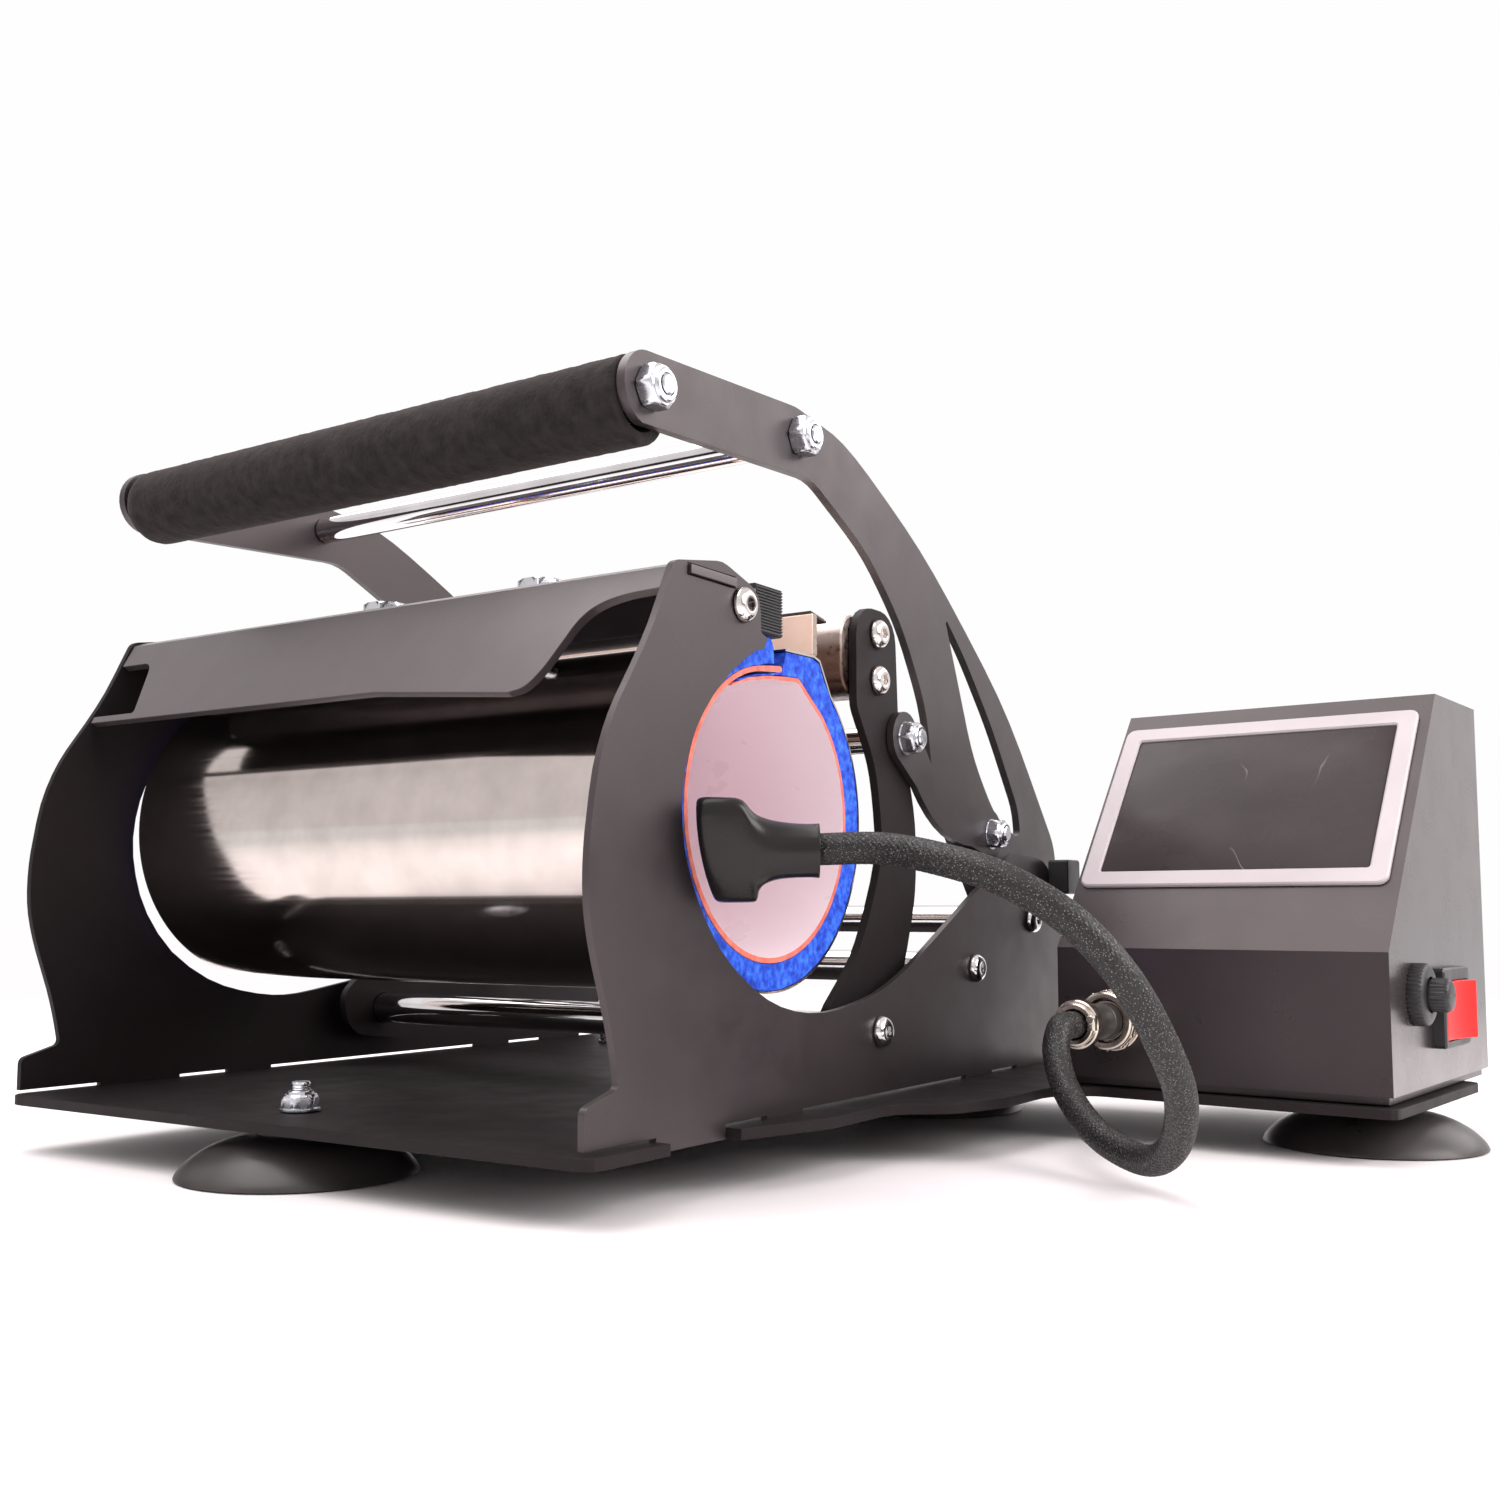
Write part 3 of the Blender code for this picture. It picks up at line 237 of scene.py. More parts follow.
def sponge():
    """Blue silicone sponge with open pores."""
    look = Look("blue_sponge", "sponge_blue", (0.02, 0.1, 0.7), 0.75, Specular_IOR_Level=0.35)
    tone = look.ramp(look.grain(420.0, 4.0), [(0.25, (0.004, 0.018, 0.26)), (0.48, (0.012, 0.075, 0.60)),
                                              (0.72, (0.05, 0.20, 0.88))])
    pores = look.ramp(look.cells(330.0), [(0.0, (1, 1, 1)), (0.16, (0.6, 0.6, 0.6)), (0.26, (0, 0, 0))])
    patch = look.ramp(look.grain(170.0, 2.0), [(0.52, (0, 0, 0)), (0.66, (1, 1, 1))])
    holes = look.mix(patch, (0.0, 0.0, 0.0, 1.0), pores)
    look.feed("Base Color", look.mix(holes, tone, (0.002, 0.008, 0.12, 1.0)))
    normal = look.bump(look.cells(500.0), 0.5, 0.3)
    look.feed("Normal", look.bump(look.grain(1400.0, 3.0), 0.5, 0.12, normal))
    return look


def silicone():
    look = Look("red_silicone", "silicone_red", (0.70, 0.15, 0.10), 0.5, Subsurface_Weight=0.05)
    look.tint(260.0, 4.0, [(0.3, (0.56, 0.10, 0.07)), (0.7, (0.80, 0.22, 0.15))])
    look.feed("Normal", look.bump(look.grain(900.0, 3.0), 0.35, 0.1))
    return look


def liner_face():
    """Smooth pale inner face of the heater, a little glossy."""
    look = Look("liner_face", "silicone_red", (0.60, 0.49, 0.51), 0.3, Specular_IOR_Level=0.6)
    look.tint(5.0, 3.0, [(0.3, (0.86, 0.72, 0.77)), (0.7, (0.95, 0.84, 0.88))])
    look.polish(40.0, 4.0, 0.24, 0.40)
    look.feed("Normal", look.bump(look.grain(22.0, 2.0), 0.12, 0.6))
    return look


def grip_foam():
    look = Look("grip_foam", "foam_black", (0.03, 0.024, 0.022), 0.95, Specular_IOR_Level=0.2,
                Sheen_Weight=0.12, Sheen_Roughness=0.6)
    look.set("Sheen Tint", (0.5, 0.42, 0.42, 1.0))
    look.tint(240.0, 5.0, [(0.3, (0.008, 0.006, 0.006)), (0.75, (0.024, 0.020, 0.020))])
    normal = look.bump(look.grain(900.0, 4.0), 0.8, 0.25)
    look.feed("Normal", look.bump(look.cells(650.0), 0.4, 0.2, normal))
    return look


def rubber(name, slot, tone, rough, gloss=0.4, pebble=0.15):
    look = Look(name, slot, tone, rough, Specular_IOR_Level=gloss)
    pale = tuple(min(1.0, value * 1.8) for value in tone)
    look.tint(45.0, 5.0, [(0.35, tone), (0.8, pale)])
    look.polish(90.0, 5.0, rough * 0.8, rough * 1.25)
    look.feed("Normal", look.bump(look.grain(700.0, 3.0), pebble, 0.1))
    return look


def braid_look():
    """Black braid: the strands are modelled, so this adds the threads along them and their glints."""
    look = Look("braid", "braid_black", (0.02, 0.02, 0.021), 0.42, Specular_IOR_Level=0.45)
    fine = look.grain(2600.0, 2.0)
    thread_tone = look.ramp(fine, [(0.40, (0.0035, 0.003, 0.003)), (0.62, (0.014, 0.013, 0.013))])
    glint = look.ramp(look.cells(1500.0), [(0.0, (1, 1, 1)), (0.18, (0.8, 0.8, 0.8)), (0.28, (0, 0, 0))])
    look.feed("Base Color", look.mix(glint, thread_tone, (0.22, 0.20, 0.20, 1.0)))
    look.polish(1200.0, 2.0, 0.3, 0.65)
    look.feed("Normal", look.bump(fine, 0.5, 0.12))
    return look


def screen_look():
    """Dark display window with faint lighter streaks and a few fine light lines."""
    look = Look("display_window", "screen", (0.03, 0.024, 0.026), 0.3, Specular_IOR_Level=0.12)
    streak_noise = look.grain(1.0, 5.0, look.stretch((26, 40, 40)))
    tone = look.ramp(streak_noise, [(0.3, (0.036, 0.028, 0.029)), (0.62, (0.050, 0.040, 0.041)),
                             (0.8, (0.066, 0.055, 0.055))])
    waves = look.grain(1.0, 2.0, look.stretch((38, 22, 22)))
    hair = look.ramp(waves, [(0.497, (0, 0, 0)), (0.5, (1, 1, 1)), (0.503, (0, 0, 0))])
    patch = look.ramp(look.grain(24.0, 1.0), [(0.62, (0, 0, 0)), (0.72, (0.5, 0.5, 0.5))])
    # fine lighter lines laid over the streaked tone
    line_mask = look.mix(patch, (0.0, 0.0, 0.0, 1.0), hair)
    look.feed("Base Color", look.mix(line_mask, tone, (0.55, 0.5, 0.5, 1.0)))
    look.feed("Roughness", look.levels(look.grain(55.0, 6.0), 0.2, 0.4, 0.35, 0.75))
    return look


def board_look():
    """Green circuit board with paler tracks."""
    look = Look("circuit_board", "board_green", (0.02, 0.15, 0.06), 0.4)
    edges = look.cells(260.0, "DISTANCE_TO_EDGE")
    look.feed("Base Color", look.ramp(edges, [(0.03, (0.05, 0.26, 0.10)), (0.06, (0.015, 0.12, 0.05))]))
    look.feed("Normal", look.bump(look.cells(260.0), 0.3, 0.1))
    return look


def bar_look():
    """Polished jaw bar with a painted reflection: pale on top, where it sees the lamp, and brown below."""
    look = metal("bar_steel", "polished_steel", (0.70, 0.59, 0.53), 0.34)
    low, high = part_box("jaw_bar")
    level = look.levels(look.height(), 0.0, 1.0, low.z, high.z)
    # colour by height is a painted reflection: pale at the top and dark brown low down
    look.feed("Base Color", look.ramp(level, [(0.2, (0.10, 0.062, 0.05)), (0.55, (0.34, 0.25, 0.21)),
                                              (0.85, (0.74, 0.64, 0.59))]))
    return look


def tan_look():
    # the tan colour stands in for bright steel: a painted reflection
    look = Look("clamp_bar_painted_reflection", "polished_steel", (0.92, 0.66, 0.52), 0.5)
    look.tint(90.0, 4.0, [(0.3, (0.90, 0.62, 0.48)), (0.7, (0.96, 0.72, 0.59))])
    return look


def bezel_look():
    look = Look("bezel", "bezel_grey", (0.40, 0.36, 0.375), 0.42, Specular_IOR_Level=0.4)
    look.tint(30.0, 4.0, [(0.3, (0.47, 0.42, 0.44)), (0.7, (0.54, 0.49, 0.505))])
    look.feed("Normal", look.bump(look.grain(600.0), 0.08, 0.1))
    return look


def rocker_look():
    look = Look("rocker_red", "rocker_red", (0.78, 0.008, 0.007), 0.35, Specular_IOR_Level=0.15)
    look.tint(80.0, 3.0, [(0.3, (0.74, 0.006, 0.006)), (0.7, (0.90, 0.014, 0.012))])
    look.feed("Normal", look.bump(look.grain(500.0), 0.08, 0.1))
    return look


powder = powder_coat()
# darker copy of the powder coat with less sheen: painted shade for the left side plate, the jaw arms and the
# base plate
shaded_powder = powder_coat("powder_coat_painted_shade", 0.7, (0.48, 0.60), gloss=0.2)
# lighter copy of the powder coat for the cover, whose slope faces the top lamp: painted light
cover_painted_light = powder_coat("cover_painted_light", 1.6, (0.36, 0.48), 0.5, 1.0)
box_paint = powder_coat("box_paint", 1.15, (0.26, 0.36), gloss=0.55)
# lighter, glossier copy of the box paint for the box's right side, which faces the right lamp: painted light
box_side_painted_light = powder_coat("box_side_painted_light", 1.4, (0.22, 0.30), 0.3)
steel = metal("polished_steel", "polished_steel", (0.66, 0.60, 0.565), 0.11, (3, 900, 900), 0.05)
bar_steel = bar_look()
tan = tan_look()
bar_end = metal("bar_end", "polished_steel", (0.46, 0.38, 0.33), 0.3)
chrome = metal("chrome", "chrome", (0.78, 0.77, 0.78), 0.07, (5, 800, 800))
zinc = metal("zinc", "zinc", (0.70, 0.72, 0.76), 0.22)
bright = metal("bright_screws", "chrome", (0.80, 0.76, 0.73), 0.10)
nickel = metal("nickel", "nickel", (0.74, 0.67, 0.58), 0.2)
sponge_blue = sponge()
red = silicone()
face = liner_face()
foam = grip_foam()
cup_rubber = rubber("cup_rubber", "rubber_black", (0.030, 0.026, 0.026), 0.34)
boot_rubber = rubber("heat_shrink", "rubber_black", (0.007, 0.0055, 0.0055), 0.26, 0.35, 0.08)
plastic = rubber("black_plastic", "plastic_black", (0.014, 0.014, 0.015), 0.38, 0.5, 0.2)
braid = braid_look()
bezel_grey = bezel_look()
barrel_black = rubber("barrel", "nickel", (0.03, 0.027, 0.026), 0.32, 0.5, 0.05)
window = screen_look()
rocker_red = rocker_look()
board = board_look()


# ---------------------------------------------------------------- mesh helpers, all in drawing millimetres
def piece(name, bm, look, body, stands_for=(), sharp=35.0, extra=()):
    """Turn a drawn bmesh into a piece that rides on a body and takes a look."""
    bm.transform(TO_FRAME)
    bmesh.ops.recalc_face_normals(bm, faces=bm.faces)
    mesh = bpy.data.meshes.new(name)
    bm.to_mesh(mesh)
    bm.free()
    for one in (look, *extra):
        mesh.materials.append(one.mat)
    mesh.shade_smooth()
    mesh.set_sharp_from_angle(angle=math.radians(sharp))
    obj = bpy.data.objects.new(name, mesh)
    bpy.context.scene.collection.objects.link(obj)
    if stands_for:
        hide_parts(*stands_for)
    if body:
        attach(obj, body)
    return obj


def soften(obj, width, segments=2, angle=40.0):
    """Round an object's sharp edges."""
    step = obj.modifiers.new("edges", "BEVEL")
    step.width = width * MM
    step.segments = segments
    step.limit_method = "ANGLE"
    step.angle_limit = math.radians(angle)
    return obj


def dress(node, look, width=0.0, segments=2):
    """Give a CAD node its finish and soft edges."""
    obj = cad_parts[node]
    obj.data.materials.clear()
    obj.data.materials.append(look.mat)
    for polygon in obj.data.polygons:
        polygon.use_smooth = True
    weld = obj.modifiers.new("weld", "WELD")
    weld.merge_threshold = 1e-6
    flat = obj.modifiers.new("flats", "DECIMATE")
    flat.decimate_type = "DISSOLVE"
    flat.angle_limit = math.radians(0.6)
    soften(obj, width, segments, 25.0)
    even_out = obj.modifiers.new("shading", "WEIGHTED_NORMAL")
    even_out.weight = 100
    return obj


def skin(bm, loops, closed=False, caps=True):
    """Faces between successive vertex loops."""
    pairs = list(zip(loops, loops[1:]))
    if closed:
        pairs.append((loops[-1], loops[0]))
    for low, high in pairs:
        for index in range(len(low)):
            after = (index + 1) % len(low)
            bm.faces.new((low[index], high[index], high[after], low[after]))
    if caps and not closed:
        bm.faces.new(loops[0])
        bm.faces.new(reversed(loops[-1]))


def lathe(rings, place, axis="X", segments=48, bm=None, closed=False):
    """Turned solid from (distance, radius) or (distance, radius, flats) rings; flats cuts a hexagon."""
    bm = bm or bmesh.new()
    loops = []
    for ring in rings:
        distance, radius = ring[:2]
        flats = ring[2] if len(ring) > 2 else None
        loop = []
        for step in range(segments):
            angle = 2 * math.pi * step / segments
            reach = radius
            if flats:
                reach = min(radius, flats / math.cos(angle % (math.pi / 3) - math.pi / 6))
            a = place[0] + reach * math.cos(angle)
            b = place[1] + reach * math.sin(angle)
            spot = {"X": (distance, a, b), "Y": (a, distance, b), "Z": (a, b, distance)}[axis]
            loop.append(bm.verts.new(spot))
        loops.append(loop)
    skin(bm, loops, closed)
    return bm


def mirrored(x):
    return -SPAN - x


def flipped(rings):
    return [(mirrored(ring[0]), *ring[1:]) for ring in rings]


def both_ends(rings):
    """Rings of the right-hand end, continued to the left-hand end."""
    return flipped(reversed(rings)) + rings


def pair(rings, place, bm=None):
    """The same turned solid at the right-hand and the left-hand end."""
    return lathe(flipped(rings), place, bm=lathe(rings, place, bm=bm))


def shifted(rings, start):
    return [(start + ring[0], *ring[1:]) for ring in rings]


def button_head():
    """Domed head with a hexagon socket, from its seat outward."""
    rings = [(0.0, BUTTON - 0.25), (0.25, BUTTON)]
    for step in range(7):
        angle = math.radians(12 + 10.5 * step)
        rings.append((0.15 + 2.75 * math.sin(angle), 2.5 + 2.8 * math.cos(angle)))
    rings += [(2.85, 2.45), (2.8, 2.3), (2.75, 9.0, 1.75), (1.3, 9.0, 1.72), (1.1, 0.6)]
    return rings


def thread(start, stop):
    """M6 thread from start to stop, as rings."""
    pitch = 0.8
    rings = []
    turns = max(1, int((stop - start) / pitch))
    for turn in range(turns):
        at = start + turn * pitch
        rings += [(at, M6 * 0.88), (at + pitch * 0.5, M6)]
    return rings + [(stop - 0.1, M6 * 0.9), (stop, M6 * 0.72)]


def hex_body(height, flats=NUT, chamfer=0.75):
    corner = flats * 1.1547
    drop = chamfer * 0.6
    return [(0.0, corner - chamfer, flats), (drop, corner, flats), (height - drop, corner, flats),
            (height, corner - chamfer, flats)]


def lock_nut(flats=NUT, height=4.6, stud=0.0):
    """Nut with a domed top, a round locking collar and the end of its bolt, which may stand out as a stud."""
    corner = flats * 1.1547
    rings = [(0.0, corner - 0.5, flats), (0.4, corner, flats), (height - 1.3, corner, flats),
             (height - 0.5, corner - 0.6, flats), (height, flats - 0.3), (height + 0.05, flats - 0.9),
             (height + 0.8, flats - 1.1), (height + 1.15, flats - 1.6), (height + 1.1, M6 + 0.4),
             (height + 0.3, M6 + 0.25), (height + 0.3, M6 * 0.88)]
    if stud:
        return rings + thread(height + 0.3, height + 1.1 + stud)
    return rings + [(height + 0.6, M6 - 0.05), (height + 1.3, M6 - 0.05), (height + 1.75, M6 - 0.55),
                    (height + 1.75, 0.8)]


# ---------------------------------------------------------------- sheet metal that stays as the CAD has it
def dress_frame():
    for side in ("left", "right"):
        # the left plate takes the darker copy of the coat: painted shade
        dress("side_plate_" + side, powder if side == "right" else shaded_powder, 0.35)
        dress("jaw_arm_" + side, shaded_powder, 0.4)
        dress("link_" + side, powder, 0.4)
        dress("handle_arm_" + side, powder, 0.4)
    dress("base_plate", shaded_powder, 0.45)
    dress("cover_plate", cover_painted_light, 0.3)
    housing = dress("box_housing", box_paint, 0.9, 3)
    housing.data.materials.append(box_side_painted_light.mat)
    # faces that look to the right take the lighter copy: painted light from the right lamp
    for polygon in housing.data.polygons:
        if polygon.normal.x > 0.9:
            polygon.material_index = 1
    dress("box_pan", box_paint, 0.4)
    dress("clamp_bar_front", powder, 0.4)
    dress("control_board", board, 0.2)


# ---------------------------------------------------------------- rods, screws and nuts
ARM_OUT = drawn_box("handle_arm_right")[1].x
ARM_IN = drawn_box("handle_arm_right")[0].x
LINK_OUT = drawn_box("link_right")[1].x


def rods():
    seat = -PLATE - GAP
    for node in ("tie_rod_rear", "jaw_pivot_rod", "handle_pivot_rod"):
        centre = drawn_centre(node)
        right = [(seat - 1.0, ROD), (seat - 0.4, ROD), (seat, ROD - 0.4), (seat, M6), (GAP, M6)]
        rings = both_ends(right + shifted(button_head(), GAP))
        piece(node + "_turned", lathe(rings, centre.yz), chrome, "press", (node,))
    inner = ARM_IN - GAP
    nut = shifted(lock_nut(NUT + 0.9, 5.4), ARM_OUT + GAP)
    centre = drawn_centre("handle_cross_rod")
    rings = both_ends([(inner - 1, 5.0), (inner - 0.4, 5.0), (inner, 4.6), (inner, M6), (ARM_OUT + GAP, M6)])
    piece("cross_rod_turned", lathe(rings, centre.yz), chrome, "handle", ("handle_cross_rod",))
    centre = drawn_centre("grip_rod")
    for name, spot in (("cross", drawn_centre("handle_cross_rod")), ("grip", centre)):
        bm = pair([(ARM_OUT + 0.1, M6)] + nut, spot.yz)
        piece(name + "_nuts", bm, zinc, "handle", ("grip_rod",) if name == "grip" else ())
    piece("grip_rod_core", lathe(both_ends([(ARM_OUT, M6)]), centre.yz, segments=24), zinc, "handle")
    tube = both_ends([(inner - 0.3, 8.9), (inner, 8.6), (inner, M6 + 0.4)])
    piece("grip_tube_turned", lathe(tube, centre.yz), zinc, "handle", ("grip_tube",))


def link_fixings():
    """Lock nuts outside the links, on the jaw's link rod and on the link bolts."""
    nut = shifted(lock_nut(NUT + 0.3, 5.0), LINK_OUT + GAP)
    jaw_end = drawn_centre("jaw_link_rod")
    rod = [(ARM_IN - 2.0, 5.0), (ARM_IN - 1.2, 5.0), (ARM_IN - 0.8, 4.6), (ARM_IN - 0.8, M6),
           (LINK_OUT + GAP, M6)]
    piece("jaw_link_rod_turned", lathe(both_ends(rod), jaw_end.yz), chrome, "jaw", ("jaw_link_rod",))
    washer = [(LINK_OUT + 0.1, M6), (LINK_OUT + 0.1, 5.9), (LINK_OUT + GAP, 5.9)]
    piece("jaw_link_nuts", pair(washer + nut, jaw_end.yz), zinc, "jaw")
    inner = ARM_IN - GAP
    rings = [(inner - 5.2, NUT - 0.4, NUT), (inner - 4.8, NUT * 1.15, NUT), (inner - 1.6, NUT * 1.15, NUT),
             (inner - 1.2, NUT - 0.1, NUT), (inner - 1.2, 9.8), (inner - 1.0, 10.0), (inner - 0.2, 10.0),
             (inner, 9.8), (inner, M6)]
    for side in ("left", "right"):
        node = "link_bolt_" + side
        bolt = rings + washer + nut
        bm = lathe(bolt if side == "right" else flipped(bolt), drawn_centre(node).yz)
        piece("link_bolt_turned_" + side, bm, zinc, "link", (node,))


def cover_fixings():
    """Flanged hexagon bolts on top of the cover."""
    for side in ("left", "right"):
        low, high = drawn_box("cover_bolt_" + side)
        centre = (low + high) / 2
        seat = drawn_box("cover_plate")[1].z + GAP
        rings = [(low.z, M6 * 0.8)] + thread(low.z + 0.3, seat - 1)[:-2]
        rings += [(seat, M6), (seat, 8.3), (seat + 0.3, 8.6), (seat + 1.3, 8.6), (seat + 1.6, 8.3)]
        rings += shifted(hex_body(6.0, 7.0, 1.0), seat + 1.6)
        rings += [(seat + 7.6, 5.4), (seat + 7.2, 5.1), (seat + 7.2, 0.8)]
        bm = lathe(rings, centre.xy, "Z")
        piece("cover_bolt_turned_" + side, bm, zinc, "press", ("cover_bolt_" + side,))


CLAMP_SCREW = (70.5, 148.8)
JAW_SCREWS = ((167.8, 155.5), (167.9, 139.2))


def end_screws():
    """Button heads at the ends of the front clamp bar and of the jaw bar."""
    piece("clamp_screw_heads", pair(shifted(button_head(), GAP), CLAMP_SCREW), bright, "press")
    bm = bmesh.new()
    for spot in JAW_SCREWS:
        pair(shifted(button_head(), ARM_OUT + GAP), spot, bm)
    piece("jaw_screw_heads", bm, bright, "jaw")


def rounded(corners, segments=5):
    """Closed outline through (a, b, radius) corners, each corner rounded by an arc."""
    outline = []
    count = len(corners)
    for index, (a, b, radius) in enumerate(corners):
        here = Vector((a, b))
        if radius <= 0:
            outline.append((a, b))
            continue
        before = (Vector(corners[index - 1][:2]) - here).normalized()
        after = (Vector(corners[(index + 1) % count][:2]) - here).normalized()
        half = before.angle(after) / 2
        reach = radius / math.tan(half)
        centre = here + (before + after).normalized() * (radius / math.sin(half))
        start = here + before * reach - centre
        finish = here + after * reach - centre
        turn = math.pi - 2 * half
        if start.x * finish.y - start.y * finish.x < 0:
            turn = -turn
        for step in range(segments + 1):
            angle = turn * step / segments
            cos, sin = math.cos(angle), math.sin(angle)
            a = centre.x + start.x * cos - start.y * sin
            b = centre.y + start.x * sin + start.y * cos
            outline.append((a, b))
    return outline


def layers(outlines, matrix=None, bm=None, closed=False, caps=True):
    """Skin over (outline, height) layers, the outline in a plane and the height out of it."""
    bm = bm or bmesh.new()
    matrix = matrix or Matrix.Identity(4)
    loops = []
    for outline, height in outlines:
        loops.append([bm.verts.new(matrix @ Vector((a, b, height))) for a, b in outline])
    skin(bm, loops, closed, caps)
    return bm


def rounded_box(x, y, radius, segments=5, inset=0.0):
    """Rectangle between two x and two y, taken in by inset, with rounded corners."""
    left, right = x[0] + inset, x[1] - inset
    low, high = y[0] + inset, y[1] - inset
    corners = ((left, low), (right, low), (right, high), (left, high))
    return rounded([(*corner, radius) for corner in corners], segments)


YZ = Matrix(((0, 0, 1, 0), (1, 0, 0, 0), (0, 1, 0, 0), (0, 0, 0, 1)))   # plane (y, z), height along x
XZ = Matrix(((1, 0, 0, 0), (0, 0, 1, 0), (0, 1, 0, 0), (0, 0, 0, 1)))   # plane (x, z), height along y


def jaw_bars():
    """Polished jaw bar with well rounded edges, and the plate that grips the wrap's rear edge."""
    low, high = drawn_box("jaw_bar")
    inner = ARM_IN - GAP
    corner, chamfer = 8.5, 0.6
    sections = []
    for inset, x in ((0.0, inner - chamfer), (chamfer, inner)):
        outline = rounded_box((low.y, high.y), (low.z, high.z), corner - inset, 10, inset)
        sections.append((outline, x))
    sections = [(outline, mirrored(x)) for outline, x in reversed(sections)] + sections
    piece("jaw_bar_body", layers(sections, YZ), bar_steel, "jaw", ("jaw_bar",))
    low, high = drawn_box("jaw_bracket")
    back = low.y + 3.0
    section = rounded_box((low.y, back), (low.z, high.z), 0.6)
    bm = layers([(section, low.x), (section, high.x)], YZ)
    for lug in (-50, -175):                         # lugs that reach back to the jaw bar
        outline = rounded_box((lug - 20, lug), (back - 0.5, high.y), 1.0)
        layers([(outline, low.z + 1.6), (outline, high.z - 2.0)], bm=bm)
    for polygon in bm.faces:
        centre = polygon.calc_center_median()
        if centre.x > high.x - 0.01 or centre.x < low.x + 0.01:
            polygon.material_index = 1
    soften(piece("jaw_clamp_bar", bm, tan, "jaw", ("jaw_bracket",), extra=(bar_end,)), 0.25)
    hook = [(low.y + 1.0, high.z + 0.1), (back + 8.0, high.z - 1.6), (back + 8.0, high.z - 0.7),
            (low.y + 1.0, high.z + 1.2)]
    bm = layers([(hook, mirrored(high.x - 1.2)), (hook, high.x - 1.2)], YZ)
    soften(piece("wrap_hook_strip", bm, powder, "jaw"), 0.15)
    low, high = drawn_box("jaw_bar_cap")
    centre = (low + high) / 2
    rings = [(low.y, 6.3), (low.y + 0.3, 6.5), (high.y - 1.4, 6.5), (high.y - 0.4, 6.0), (high.y, 5.0),
             (high.y, 2.2), (high.y - 1.5, 2.0)]
    piece("jaw_bar_cap_turned", lathe(rings, (centre.x, centre.z), "Y"), zinc, "jaw", ("jaw_bar_cap",))


def bumpers():
    """Blocks beside the clamp bar, finely ribbed on their outer side."""
    for side in ("left", "right"):
        low, high = drawn_box("bumper_" + side)
        outer, inner = (high.x, low.x) if side == "right" else (low.x, high.x)
        out = 1 if side == "right" else -1
        ribs = 15
        step = (high.z - low.z - 1.0) / ribs
        groove = outer - 0.45 * out
        outline = [(inner, high.z), (inner, low.z), (outer - 0.9 * out, low.z),
                   (outer - 0.2 * out, low.z + 0.4)]
        for rib in range(ribs):
            z = low.z + 0.5 + rib * step
            outline += [(outer, z + 0.15 * step), (outer, z + 0.55 * step), (groove, z + 0.68 * step),
                        (groove, z + 0.98 * step)]
        outline += [(outer - 0.2 * out, high.z - 0.4), (outer - 0.9 * out, high.z)]
        bm = layers([(outline, low.y), (outline, high.y)], XZ)
        soften(piece("bumper_ribbed_" + side, bm, plastic, "press", ("bumper_" + side,), 25), 0.12, 2, 50)


def rear_stops():
    """Black blocks behind the arms, with softened ends."""
    for side in ("left", "right"):
        low, high = drawn_box("rear_stop_" + side)
        y, z = (low.y, high.y), (low.z, high.z)
        body, end = rounded_box(y, z, 1.2), rounded_box(y, z, 0.8, inset=0.5)
        sections = [(end, low.x), (body, low.x + 0.5), (body, high.x - 0.5), (end, high.x)]
        piece("rear_stop_block_" + side, layers(sections, YZ), plastic, "press", ("rear_stop_" + side,))


# ---------------------------------------------------------------- heater wrap
liner_box = drawn_box("heater_liner_front")
HEATER = (92.0, 88.5)
ENDS = (liner_box[0].x, liner_box[1].x)
SEAM = 10.0                     # degrees, where the front piece meets the piece fixed to the jaw


def polar(radius, degrees):
    angle = math.radians(degrees)
    return (HEATER[0] + radius * math.cos(angle), HEATER[1] + radius * math.sin(angle))


def sweep(radius, start, stop, steps):
    return [polar(radius, start + (stop - start) * step / steps) for step in range(steps + 1)]


def strip(inner, outer, xs, across=1):
    """Solid between an inner and an outer path, drawn out along X; returns the bmesh and its inner faces."""
    bm = bmesh.new()
    grid = []
    for x in xs:
        rows = []
        for a, b in zip(inner, outer):
            row = []
            for step in range(across + 1):
                t = step / across
                row.append(bm.verts.new((x, a[0] + (b[0] - a[0]) * t, a[1] + (b[1] - a[1]) * t)))
            rows.append(row)
        grid.append(rows)
    count = len(inner)
    # only the skin is kept: interior points of the middle sections are unused
    inside = []
    for low, high in zip(grid, grid[1:]):
        for i in range(count - 1):
            inside.append(bm.faces.new((low[i][0], low[i + 1][0], high[i + 1][0], high[i][0])))
            bm.faces.new((low[i][-1], high[i][-1], high[i + 1][-1], low[i + 1][-1]))
        for row in (0, count - 1):
            for j in range(across):
                bm.faces.new((low[row][j], high[row][j], high[row][j + 1], low[row][j + 1]))
    for rows in (grid[0], grid[-1]):
        for i in range(count - 1):
            for j in range(across):
                bm.faces.new((rows[i][j], rows[i][j + 1], rows[i + 1][j + 1], rows[i + 1][j]))
    loose = [v for v in bm.verts if not v.link_faces]
    bmesh.ops.delete(bm, geom=loose, context="VERTS")
    return bm, inside


def along_x(fine=0.0):
    """Sections along the heater, with an extra pair just inside each end where fine is given."""
    left, right = ENDS
    count = 8
    xs = [left] + [left + (right - left) * step / count for step in range(1, count)] + [right]
    if fine:
        xs = [left, left + fine] + xs[1:-1] + [right - fine, right]
    return xs


